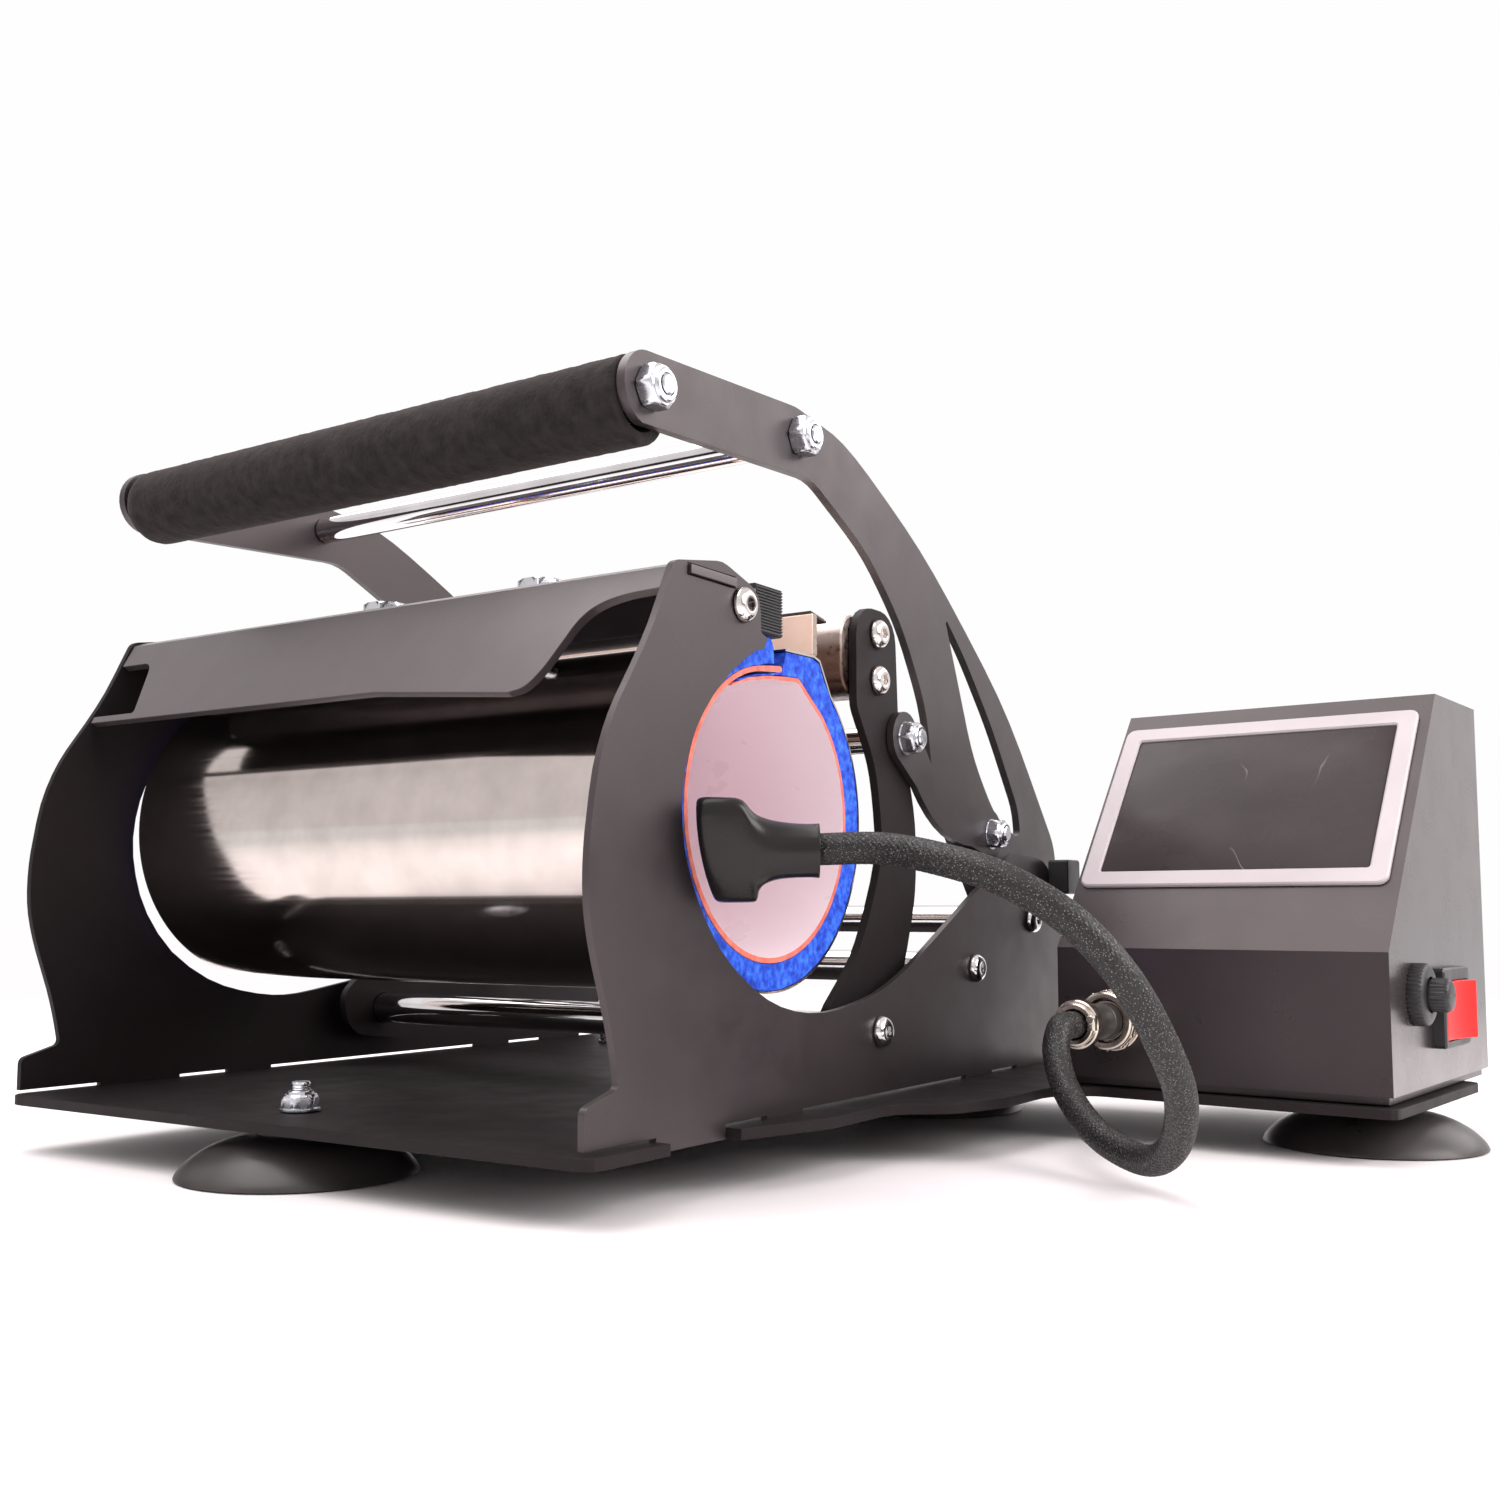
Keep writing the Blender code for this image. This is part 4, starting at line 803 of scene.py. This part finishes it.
def paired(inner, outer, spacing):
    """Resample two paths to the same number of points, by matching segments."""
    a_out, b_out = [inner[0]], [outer[0]]
    for index in range(len(inner) - 1):
        a0, a1 = Vector(inner[index]), Vector(inner[index + 1])
        b0, b1 = Vector(outer[index]), Vector(outer[index + 1])
        steps = max(1, round(max((a1 - a0).length, (b1 - b0).length) / spacing))
        for step in range(1, steps + 1):
            a_out.append(tuple(a0 + (a1 - a0) * step / steps))
            b_out.append(tuple(b0 + (b1 - b0) * step / steps))
    return a_out, b_out


# inner and outer radius of each layer of the wrap
LINER = (43.5, 45.1)
FOAM = (45.3, 53.3)
SHELL = (53.5, 54.2)
WRAP_TOP = 98                    # degrees, where the front piece's round part ends under the cover
WRAP_REAR = 48                   # degrees, where the rear piece leaves the round for the clamp plate


def front_paths(radii, tip_in, tip_out):
    turn = (WRAP_TOP, 360 + SEAM, 96)
    return tip_in + sweep(radii[0], *turn), tip_out + sweep(radii[1], *turn)


def rear_paths(radii, tail_in, tail_out):
    turn = (SEAM, WRAP_REAR, 16)
    return sweep(radii[0], *turn) + tail_in, sweep(radii[1], *turn) + tail_out


def roughen(bm, depth, scale):
    """Uneven cut end faces of the sponge."""
    left, right = ENDS
    for v in bm.verts:
        if min(abs(v.co.x - left), abs(v.co.x - right)) >= 0.01:
            continue
        push = noise.noise(v.co * scale) + 0.5 * noise.noise(v.co * scale * 2.7)
        inward = 1 if abs(v.co.x - left) < 1 else -1
        v.co.x += inward * depth * abs(push)


def heater():
    """Wrap of liner, sponge and shell: a front piece, attached to no body, and a rear piece fixed to the jaw.

    Each plan gives the layer's radii and the (y, z) path of its inner and outer skin beyond the round part,
    first for the front piece's tip under the cover and then for the rear piece's tail on the clamp plate.
    """
    tongue_in = [(98.3, 133.2), (97.6, 132.6), (92.0, 132.1)]
    tongue_out = [(98.4, 133.8), (97.6, 134.5), (92.0, 134.0)]
    plans = (
        ("liner", LINER, tongue_in, tongue_out,
         [(108.6, 129.9), (107.0, 130.6), (100.5, 130.3), (90.0, 129.5), (80.0, 127.9), (70.8, 125.4)],
         [(109.2, 131.3), (107.6, 132.0), (100.5, 131.6), (90.0, 130.6), (80.0, 128.9), (70.9, 125.9)]),
        ("foam", FOAM,
         [(94.3, 135.0), (92.9, 134.8), (89.0, 134.3)],
         [(93.7, 139.2), (92.4, 142.4), (88.3, 142.5)],
         [(109.6, 131.5), (107.9, 132.25), (100.5, 131.85), (97.6, 131.75), (92.0, 131.0), (84.0, 129.8),
          (74.0, 127.1)],
         [(120.5, 138.6), (117.4, 139.6), (101.0, 139.4), (98.8, 133.2), (92.5, 131.6), (84.0, 130.4),
          (74.0, 127.5)]),
        ("shell", SHELL, [(88.4, 142.8)], [(88.4, 143.3)],
         [(121.0, 138.9), (117.7, 139.9), (100.5, 139.7)], [(121.5, 139.6), (118.1, 140.6), (100.5, 140.4)]),
    )
    looks = {"liner": red, "foam": sponge_blue, "shell": steel}
    for name, radii, tip_in, tip_out, tail_in, tail_out in plans:
        across = 8 if name == "foam" else 2
        xs = along_x(0.8 if name == "foam" else 0.0)
        for half, paths, body in (("front", front_paths(radii, tip_in, tip_out), "press"),
                                  ("rear", rear_paths(radii, tail_in, tail_out), "jaw")):
            spacing = 1.4 if name == "foam" else 2.4
            inner, outer = paired(*paths, spacing)
            bm, inside = strip(inner, outer, xs, across)
            if name == "foam":
                roughen(bm, 0.55, 0.42)
            if name == "liner":
                for polygon in inside:
                    polygon.material_index = 1
            extra = (face,) if name == "liner" else ()
            obj = piece(f"wrap_{name}_{half}", bm, looks[name], body if half == "rear" else None,
                        (f"heater_{name}_{half}",), 40, extra)
            if half == "front":
                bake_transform(obj)


def liner_patch():
    """Red silicone pad that carries the lead's boot on the inner face of the wrap."""
    start, stop, steps = 178, 222, 24
    xs = [ENDS[1] - 12.0, ENDS[1] - 6.0, ENDS[1] - 0.4]
    bm, _ = strip(sweep(LINER[0] - 0.7, start, stop, steps), sweep(LINER[0] - 0.1, start, stop, steps), xs)
    piece("wrap_pad", bm, red, "press", (), 40)


# ---------------------------------------------------------------- grip, feet
def grip():
    """Foam sleeve with a round left end, a tighter right end and a slightly uneven skin."""
    low, high = drawn_box("grip_foam")
    centre = (low + high) / 2
    radius = (high.z - low.z) / 2
    rings = []
    count = 240
    for step in range(count + 1):
        x = low.x + (high.x - low.x) * step / count
        left, right = (x - low.x) / 6.0, (high.x - x) / 1.6
        fall = max(1 - left, 1 - right, 0.0)
        depth = 4.0 if left < 1 else 1.2
        rings.append((x, radius - depth * (1 - math.sqrt(max(0.0, 1 - fall ** 2)))))
    rings = [(low.x, 9.3)] + rings + [(high.x, 9.3)]
    bm = lathe(rings, centre.yz, segments=72, closed=True)
    for v in bm.verts:
        out = Vector((0, v.co.y - centre.y, v.co.z - centre.z))
        if out.length > 10:
            v.co += out.normalized() * (0.16 * noise.noise(v.co * 0.35) + 0.1 * noise.noise(v.co * 1.1))
    piece("grip_foam_sleeve", bm, foam, "handle", ("grip_foam",), 50)


def feet():
    """Suction cups under the press and the studs that hold them."""
    seat = drawn_box("base_plate")[1].z + GAP
    for name in ("front", "rear_left", "rear_right", "shelf"):
        low, high = drawn_box("suction_cup_" + name)
        centre = (low + high) / 2
        base, top = low.z, high.z
        profile = [(base, 30.0), (base, 35.4), (base + 0.35, 36.0), (base + 0.9, 35.8)]
        for step in range(1, 13):
            t = step / 12
            profile.append((base + 0.9 + (top - base - 4.4) * math.sin(t * math.pi / 2) ** 1.15,
                            35.8 - (35.8 - 13.5) * t ** 1.5))
        profile += [(top - 2.6, 12.0), (top - 0.4, 11.5), (top, 11.1), (top, M6 + 0.3), (base + 6, M6 + 0.3),
                    (base + 5.6, 8.0), (base + 3.6, 20.0), (base + 1.0, 28.0)]
        bm = lathe(profile, centre.xy, "Z", 96, closed=True)
        piece("suction_cup_moulded_" + name, bm, cup_rubber, "press", ("suction_cup_" + name,), 45)
        low, high = drawn_box("foot_stud_" + name)
        centre = (low + high) / 2
        nut_seat = seat + 0.8
        nut_height = 4.2
        rings = [(low.z, M6 * 0.8), (low.z + 0.3, M6), (seat, M6), (seat, 5.9), (seat + 0.2, 6.1),
                 (seat + 0.7, 6.1), (nut_seat, 5.9)]
        rings += shifted(lock_nut(NUT, nut_height, high.z - nut_seat - nut_height - 1.1), nut_seat)
        bm = lathe(rings, centre.xy, "Z")
        piece("foot_stud_turned_" + name, bm, zinc, "press", ("foot_stud_" + name,))


# ---------------------------------------------------------------- control box details
# across the sloping face and up it
BEZEL = ((1.5, 109.5), (26.5, 103.0))
SCREEN = ((8.0, 103.0), (33.0, 96.5))
BEZEL_RISE = 1.6


def display():
    """Raised display frame with a bevelled lip, and the window set into it."""
    rise = BEZEL_RISE
    outer = rounded_box(*BEZEL, 3.4)
    crown = rounded_box(*BEZEL, 3.0, inset=0.5)
    lip = rounded_box(*SCREEN, 1.6, inset=-0.6)
    edge = rounded_box(*SCREEN, 1.0)
    stack = [(outer, 0.05), (outer, rise - 0.5), (crown, rise), (lip, rise), (edge, rise - 0.5), (edge, 0.05)]
    piece("lcd_frame", layers(stack, SLOPE, closed=True), bezel_grey, "press", ("lcd_bezel",), 30)
    pane = rounded_box(*SCREEN, 0.8, inset=0.2)
    crown = rounded_box(*SCREEN, 0.6, inset=0.5)
    stack = [(pane, -2.8), (pane, rise - 0.85), (crown, rise - 0.7)]
    piece("lcd_window", layers(stack, SLOPE), window, "press", ("lcd_screen",), 30)


WALL = BOX_SIZE[0]
SIDE = BOX @ YZ                                    # plane (y, z) of the box, height out of its right side


def boxed(bm):
    """Move a mesh drawn in the control box's own axes into place."""
    bmesh.ops.transform(bm, matrix=BOX, verts=bm.verts)
    return bm


def rocker():
    """Switch frame in the box's right side, and the red rocker with its dished face."""
    y, z, rise = (47.9, 80.3), (11.8, 38.6), 4.2
    outer = rounded_box(y, z, 1.6)
    crown = rounded_box(y, z, 1.2, inset=0.6)
    well = rounded_box((y[0] + 2.2, y[1] - 2.2), (z[0] + 2.3, z[1] - 4.2), 0.8)
    stack = [(outer, WALL + 0.05), (outer, WALL + rise - 0.6), (crown, WALL + rise), (well, WALL + rise),
             (well, WALL - 7.0)]
    bm = layers(stack, SIDE, caps=False)
    rear = rounded_box(y, z, 0.8, inset=2.6)
    layers([(rear, WALL - 15.5), (rear, WALL - 7.5)], SIDE, bm=bm)
    piece("rocker_bezel", bm, plastic, "press", ("rocker_frame",), 30)
    axis = Vector((WALL - 1.0, 64.1))
    tilt = math.radians(8.05)
    half = 11.8                                    # half the dished length
    profile = [(-1.5, -12.2), (6.5, -13.0), (6.95, -12.4)]
    for step in range(-8, 9):
        along = step / 8 * half
        profile.append((5.75 + 1.15 * (along / half) ** 2, along))
    profile += [(6.95, 12.4), (6.5, 13.0), (-1.5, 12.2)]
    turned = []
    for out, along in profile:
        turned.append((axis.x + out * math.cos(tilt) + along * math.sin(tilt),
                       axis.y - out * math.sin(tilt) + along * math.cos(tilt)))
    bm = layers([(turned, z[0] + 2.5), (turned, z[1] - 4.5)], BOX)
    soften(piece("rocker_cap", bm, rocker_red, "rocker", ("rocker_switch",), 30), 0.5, 3, 50)


FUSE = (28.0, 30.7)


def knurled(rings, grooves, points, cut):
    """Round body on the box's right side, from (height, radius, groove depth) rings.

    Each groove has the given number of points, and the first cut of them are the low ones.
    """
    bm = bmesh.new()
    loops = []
    count = grooves * points
    for height, radius, depth in rings:
        loop = []
        for step in range(count):
            angle = 2 * math.pi * step / count
            reach = radius - (depth if step % points < cut else 0)
            spot = (WALL + height, FUSE[0] + reach * math.cos(angle), FUSE[1] + reach * math.sin(angle))
            loop.append(bm.verts.new(spot))
        loops.append(loop)
    skin(bm, loops)
    return boxed(bm)


def fuse():
    """Fuse holder: a knurled flange, and a turning knob with a raised bar across its end."""
    flange = ((0.05, 9.9, 0), (0.3, 10.2, 0.35), (3.4, 10.2, 0.35), (4.2, 9.7, 0), (4.7, 8.9, 0),
              (5.0, 8.2, 0), (5.0, 5.9, 0), (3.0, 5.8, 0))
    piece("fuse_flange", knurled(flange, 40, 4, 2), plastic, "press", ("fuse_holder",), 30)
    knob = ((3.2, 5.0, 0), (5.4, 5.0, 0), (5.6, 5.5, 0.3), (9.8, 5.5, 0.3), (10.6, 5.2, 0.1), (11.2, 4.7, 0),
            (11.5, 3.9, 0))
    bm = knurled(knob, 24, 3, 1)
    ridge = rounded_box((FUSE[0] - 3.4, FUSE[0] + 3.4), (FUSE[1] - 0.6, FUSE[1] + 0.6), 0.3)
    layers([(ridge, WALL + 11.3), (ridge, WALL + 11.55)], SIDE, bm=bm)
    piece("fuse_knob_moulded", bm, plastic, "fuse_knob", ("fuse_cap",), 30)


def inlet():
    """Mains socket in the back of the box: a flange, a well and three blades."""
    x, z = (40.0, 72.0), (18.0, 42.0)
    back = BOX_SIZE[1]
    plane = BOX @ XZ
    outer = rounded_box(x, z, 2.0)
    crown = rounded_box(x, z, 1.6, inset=0.6)
    well = rounded([(x[0] + 4, z[0] + 4, 1), (x[1] - 4, z[0] + 4, 1), (x[1] - 4, z[1] - 8, 1),
                    (x[1] - 8, z[1] - 4, 1), (x[0] + 8, z[1] - 4, 1), (x[0] + 4, z[1] - 8, 1)])
    bm = layers([(outer, back + 0.05), (outer, back + 2.4), (crown, back + 3.0)], plane)
    piece("inlet_flange", bm, plastic, "press", ("power_inlet",), 30)
    bm = layers([(well, back + 3.02), (well, back + 3.3)], plane)
    piece("inlet_shroud", bm, cup_rubber, "press", (), 30)
    bm = bmesh.new()
    for across, up in ((49.0, 27.0), (63.0, 27.0), (56.0, 33.0)):
        blade = rounded_box((across - 1.0, across + 1.0), (up - 3.0, up + 3.0), 0.6, 3)
        layers([(blade, back + 3.2), (blade, back + 3.9)], plane, bm=bm)
    piece("inlet_blades", bm, nickel, "press", (), 30)


# ---------------------------------------------------------------- plug and lead
SOCKET = (21.0, 20.2)
SOCKET_NUT = 9.3                 # half across flats


def plug():
    """Panel socket with its washer and nut, ring nut, black barrel and the ring that clamps the lead."""
    socket = [(-6.0, 6.0), (-6.0, 6.7), (-5.7, 7.0), (-3.05, 7.0), (-3.05, 8.9, SOCKET_NUT),
              (-2.8, 10.6, SOCKET_NUT), (-1.7, 10.74, SOCKET_NUT), (-1.5, 10.3, SOCKET_NUT), (-1.5, 10.2),
              (-1.3, 10.5), (-0.4, 10.5), (-0.05, 10.2), (-0.05, 7.2), (12.0, 7.2)]
    piece("socket_turned", boxed(lathe(socket, SOCKET, "Y")), nickel, "press", ("panel_socket",), 30)
    ring = [(-7.6, 7.7), (-7.7, 8.6), (-7.7, 9.2), (-7.3, 9.8), (-6.6, 10.0), (-6.2, 9.7), (-5.8, 10.0),
            (-4.2, 10.0), (-3.8, 9.7), (-3.35, 9.4), (-3.35, 7.35), (-6.6, 7.35)]
    bm = lathe(ring, SOCKET, "Y", 64, closed=True)
    ridges = 12
    for ridge in range(ridges):
        angle = 2 * math.pi * ridge / ridges
        place = (SOCKET[0] + 9.75 * math.cos(angle), SOCKET[1] + 9.75 * math.sin(angle))
        lathe([(-5.9, 0.5), (-5.7, 0.7), (-4.3, 0.7), (-4.1, 0.5)], place, "Y", 10, bm)
    piece("ring_nut_turned", boxed(bm), nickel, "collar", ("plug_collar",), 30)
    barrel = [(-25.2, 5.5), (-25.2, 6.2), (-12.0, 6.2), (-11.7, 6.0), (-11.3, 6.0), (-11.0, 6.2), (-6.6, 6.2),
              (-6.3, 5.9)]
    piece("plug_barrel", boxed(lathe(barrel, SOCKET, "Y")), barrel_black, "press", ("plug_body",), 30)
    clamp = [(-30.6, 4.9), (-31.0, 5.3), (-31.0, 6.5), (-30.7, 6.9), (-29.9, 7.1), (-29.6, 6.9), (-29.5, 7.6),
             (-29.1, 8.1), (-25.8, 8.2), (-25.2, 7.8), (-25.1, 6.3), (-27.6, 4.9)]
    bm = lathe(clamp, SOCKET, "Y", 64, closed=True)
    lug = (SOCKET[0] + 6.4, SOCKET[1] + 1.0)
    outline = rounded_box((lug[0] - 1.6, lug[0] + 1.4), (-31.6, -28.4), 0.8)
    layers([(outline, lug[1] - 2.6), (outline, lug[1] + 2.4)], bm=bm)
    lathe([(-32.2, 0.6), (-32.2, 1.2), (-31.9, 1.5), (-31.5, 1.5)], (lug[0], lug[1] + 0.9), "Y", 20, bm)
    piece("plug_clamp_ring", boxed(bm), nickel, "press", (), 30)


# points that the lead passes through, from the boot to the plug
LEAD = [(22.2, 55.4, 75.6), (32.3, 62.0, 76.0), (48.8, 65.3, 75.9), (67.4, 63.7, 72.6), (84.8, 63.9, 67.1),
        (100.6, 67.4, 57.3), (111.7, 74.0, 43.5), (117.2, 84.7, 27.4), (117.5, 100.3, 10.9),
        (110.0, 117.0, -4.2), (97.1, 131.1, -11.3), (77.9, 145.9, -7.9), (61.7, 162.1, 1.7),
        (53.6, 172.3, 12.9), (52.5, 178.3, 20.6), (53.3, 183.0, 21.6), (53.7, 188.2, 21.6)]


def smooth_path(points, steps):
    """Catmull-Rom curve through the points."""
    points = [Vector(point) for point in points]
    points = [2 * points[0] - points[1]] + points + [2 * points[-1] - points[-2]]
    path = []
    for a, b, c, d in zip(points, points[1:], points[2:], points[3:]):
        for step in range(steps):
            t = step / steps
            path.append(0.5 * (2 * b + (c - a) * t + (2 * a - 5 * b + 4 * c - d) * t * t
                               + (3 * b - a - 3 * c + d) * t ** 3))
    path.append(points[-2])
    return path


def even(path, spacing):
    """The same path with evenly spaced points."""
    result = [path[0]]
    left = spacing
    for a, b in zip(path, path[1:]):
        length = (b - a).length
        at = 0.0
        while length - at >= left:
            at += left
            result.append(a + (b - a) * (at / length))
            left = spacing
        left -= length - at
    return result + [path[-1]]


def lead():
    """Braided sleeve: two sets of strands that wind opposite ways and pass over and under each other."""
    spacing = 0.42
    path = even(smooth_path(LEAD, 24), spacing)
    around = 96
    strands = 20
    pitch = 42.0                       # mm of lead for one turn of a strand
    bm = bmesh.new()
    loops = []
    side = Vector((0, 0, 1))
    for index, spot in enumerate(path):
        ahead = (path[min(index + 1, len(path) - 1)] - path[max(index - 1, 0)]).normalized()
        side = (side - ahead * side.dot(ahead)).normalized()
        other = ahead.cross(side)
        turn = 2 * math.pi * index * spacing / pitch
        loop = []
        for step in range(around):
            angle = 2 * math.pi * step / around
            one = (angle + turn) * strands / (2 * math.pi)
            two = (angle - turn) * strands / (2 * math.pi)
            over = (math.floor(one) + math.floor(two)) % 2 == 0
            a = math.sin(math.pi * (one % 1.0)) ** 0.6
            b = math.sin(math.pi * (two % 1.0)) ** 0.6
            relief = max(a * (1.0 if over else 0.5), b * (0.5 if over else 1.0))
            reach = CABLE - 0.26 + 0.42 * relief
            offset = side * (reach * math.cos(angle)) + other * (reach * math.sin(angle))
            loop.append(bm.verts.new(spot + offset))
        loops.append(loop)
    skin(bm, loops)
    piece("braided_lead", bm, braid, "press", ("heater_cable",), 180)


BOOT = Vector((3.8, 43.3, 75.6))
BOOT_TURN = math.radians(33.4)
BOOT_PLACE = Matrix.Translation(BOOT) @ Matrix.Rotation(BOOT_TURN, 4, "Z")


def boot():
    """Heat-shrink boot: a deep flat pocket that necks down to a tube with an open mouth."""
    # along, low z, high z, half width, corner roundness
    stations = [(0.0, -12.6, 12.9, 3.6, 0.75), (0.5, -13.8, 14.0, 5.0, 0.7), (1.6, -14.3, 14.5, 6.0, 0.6),
                (4.0, -14.3, 14.5, 6.4, 0.55), (8.0, -14.2, 14.4, 6.5, 0.55), (11.2, -14.2, 14.3, 6.5, 0.55),
                (12.8, -13.7, 13.6, 6.5, 0.6), (13.9, -12.4, 12.4, 6.5, 0.7), (14.8, -10.9, 11.0, 6.5, 0.8),
                (16.2, -9.6, 9.6, 6.5, 0.9), (18.5, -8.6, 8.6, 6.6, 1.0), (22.0, -7.9, 7.9, 6.8, 1.0),
                (27.0, -7.4, 7.4, 7.0, 1.0), (31.0, -7.3, 7.3, 7.2, 1.0), (32.6, -7.5, 7.5, 7.4, 1.0),
                (33.0, -7.5, 7.5, 7.4, 1.0), (33.0, -6.9, 6.9, 6.8, 1.0), (30.0, -6.3, 6.3, 6.3, 1.0),
                (22.0, -5.8, 5.8, 5.8, 1.0)]
    bm = bmesh.new()
    around = 72
    loops = []
    for along, low, high, half, roundness in stations:
        middle, tall = (low + high) / 2, (high - low) / 2
        loop = []
        power = 2.0 if roundness >= 1 else 2.0 + 3.5 * (1 - roundness) / 0.45
        for step in range(around):
            angle = 2 * math.pi * step / around
            cos, sin = math.cos(angle), math.sin(angle)
            y = half * math.copysign(abs(cos) ** (2 / power), cos)
            z = middle + tall * math.copysign(abs(sin) ** (2 / power), sin)
            loop.append(bm.verts.new((along, y, z)))
        loops.append(loop)
    skin(bm, loops)
    for v in bm.verts:
        if v.co.x < 26:
            v.co += Vector((0.0, 0.5, 0.35)) * noise.noise(v.co * 0.2)
    bmesh.ops.transform(bm, matrix=BOOT_PLACE, verts=bm.verts)
    # the flat pocket lies against the round wall of the wrap; the neck does not
    rest = math.sqrt(LINER[0] ** 2 - (HEATER[1] - BOOT.z) ** 2)
    to_boot = BOOT_PLACE.inverted()
    for v in bm.verts:
        along = (to_boot @ v.co).x
        hold = min(1.0, max(0.0, (20.0 - along) / 9.0))
        fall = math.sqrt(max(0.0, LINER[0] ** 2 - (HEATER[1] - v.co.z) ** 2))
        v.co.y += hold * (rest - fall)
    obj = piece("heat_shrink_boot", bm, boot_rubber, "press", ("heater_boot",), 60)
    step = obj.modifiers.new("smooth", "SUBSURF")
    step.levels = step.render_levels = 1


# ---------------------------------------------------------------- studio
def sky(world):
    """Bright overhead, behind and in front of the press, darker beside it; white to the camera itself."""
    world.use_nodes = True
    nodes, links = world.node_tree.nodes, world.node_tree.links
    seen = nodes.new("ShaderNodeBackground")
    seen.inputs["Color"].default_value = (1.0, 0.99, 0.993, 1.0)
    place = nodes.new("ShaderNodeTexCoord")
    split = nodes.new("ShaderNodeSeparateXYZ")
    links.new(place.outputs["Generated"], split.inputs[0])
    bright = None
    # axis, where the brightness along it starts and ends, and how bright it gets
    for axis, start, stop, most in (("Z", 0.10, 0.62, 1.0), ("Y", 0.0, 0.7, 1.0), ("Y", -0.2, -0.65, 0.86)):
        rise = nodes.new("ShaderNodeMapRange")
        rise.interpolation_type = "SMOOTHSTEP"
        rise.inputs["From Min"].default_value = start
        rise.inputs["From Max"].default_value = stop
        rise.inputs["To Max"].default_value = most
        links.new(split.outputs[axis], rise.inputs["Value"])
        if bright is None:
            bright = rise.outputs["Result"]
            continue
        either = nodes.new("ShaderNodeMath")
        either.operation = "MAXIMUM"
        links.new(bright, either.inputs[0])
        links.new(rise.outputs["Result"], either.inputs[1])
        bright = either.outputs["Value"]
    ramp = nodes.new("ShaderNodeValToRGB")
    low, high = ramp.color_ramp.elements
    low.color = (0.16, 0.14, 0.145, 1)
    high.color = (1.0, 0.95, 0.955, 1)
    links.new(bright, ramp.inputs["Fac"])
    shade = nodes["Background"]
    links.new(ramp.outputs["Color"], shade.inputs["Color"])
    path = nodes.new("ShaderNodeLightPath")
    pick = nodes.new("ShaderNodeMixShader")
    links.new(path.outputs["Is Camera Ray"], pick.inputs["Fac"])
    links.new(shade.outputs[0], pick.inputs[1])
    links.new(seen.outputs[0], pick.inputs[2])
    links.new(pick.outputs[0], nodes["World Output"].inputs["Surface"])


def paper():
    """Floor sheet that fades to plain white away from the press."""
    look = Look("floor_paper", "floor", (0.9, 0.87, 0.88), 0.6)
    look.tint(3.0, 3.0, [(0.3, (0.915, 0.885, 0.89)), (0.7, (0.945, 0.92, 0.925))])
    reach = look.nodes.new("ShaderNodeVectorMath")
    reach.operation = "LENGTH"
    look.links.new(look.place, reach.inputs[0])
    glow = look.nodes.new("ShaderNodeEmission")
    glow.inputs["Color"].default_value = (1.0, 0.985, 0.99, 1.0)
    fade = look.nodes.new("ShaderNodeMixShader")
    look.links.new(look.levels(reach.outputs["Value"], 0.0, 1.0, 0.42, 1.1), fade.inputs["Fac"])
    look.links.new(look.shader.outputs[0], fade.inputs[1])
    look.links.new(glow.outputs[0], fade.inputs[2])
    look.links.new(fade.outputs[0], look.nodes["Material Output"].inputs["Surface"])
    return look


def lamp(name, offset, size, power, colour):
    centre = (cad_bounds[0] + cad_bounds[1]) / 2
    data = bpy.data.lights.new(name, "AREA")
    data.shape = "RECTANGLE"
    data.size, data.size_y = size
    data.energy = power
    data.color = colour
    obj = bpy.data.objects.new(name, data)
    bpy.context.scene.collection.objects.link(obj)
    obj.location = centre + Vector(offset)
    obj.rotation_euler = (-Vector(offset)).to_track_quat("-Z", "Y").to_euler()


def studio():
    scene = bpy.context.scene
    scene.view_settings.view_transform = "Standard"
    scene.world = bpy.data.worlds.new("studio")
    sky(scene.world)
    sheet = bmesh.new()
    bmesh.ops.create_grid(sheet, x_segments=2, y_segments=2, size=6.0)
    mesh = bpy.data.meshes.new("floor")
    sheet.to_mesh(mesh)
    sheet.free()
    floor = bpy.data.objects.new("floor", mesh)
    scene.collection.objects.link(floor)
    floor.location = (0, 0, cad_bounds[0].z - 0.0002)
    mesh.materials.append(paper().mat)
    lamp("top", (-0.5, -0.25, 1.4), (2.4, 1.2), 27.0, (1.0, 0.965, 0.965))
    lamp("rear", (1.2, 1.6, 1.1), (1.6, 1.0), 10.0, (1.0, 0.95, 0.955))
    lamp("right", (1.3, 0.1, 0.65), (0.9, 0.9), 17.0, (1.0, 0.94, 0.945))


def camera():
    data = bpy.data.cameras.new("camera")
    obj = bpy.data.objects.new("camera", data)
    bpy.context.scene.collection.objects.link(obj)
    obj.location = ORIGIN + Vector((249.8, -303.8, 59.2)) * MM
    obj.rotation_euler = (math.radians(95.0), 0.0, math.radians(33.45))
    data.sensor_width = 36.0
    data.lens = 37.2
    data.shift_y = 0.0167
    data.clip_start = 0.02
    data.clip_end = 50.0
    bpy.context.scene.camera = obj


dress_frame()
rods()
link_fixings()
cover_fixings()
end_screws()
jaw_bars()
bumpers()
rear_stops()
heater()
liner_patch()
grip()
feet()
display()
rocker()
fuse()
inlet()
plug()
lead()
boot()
studio()
camera()
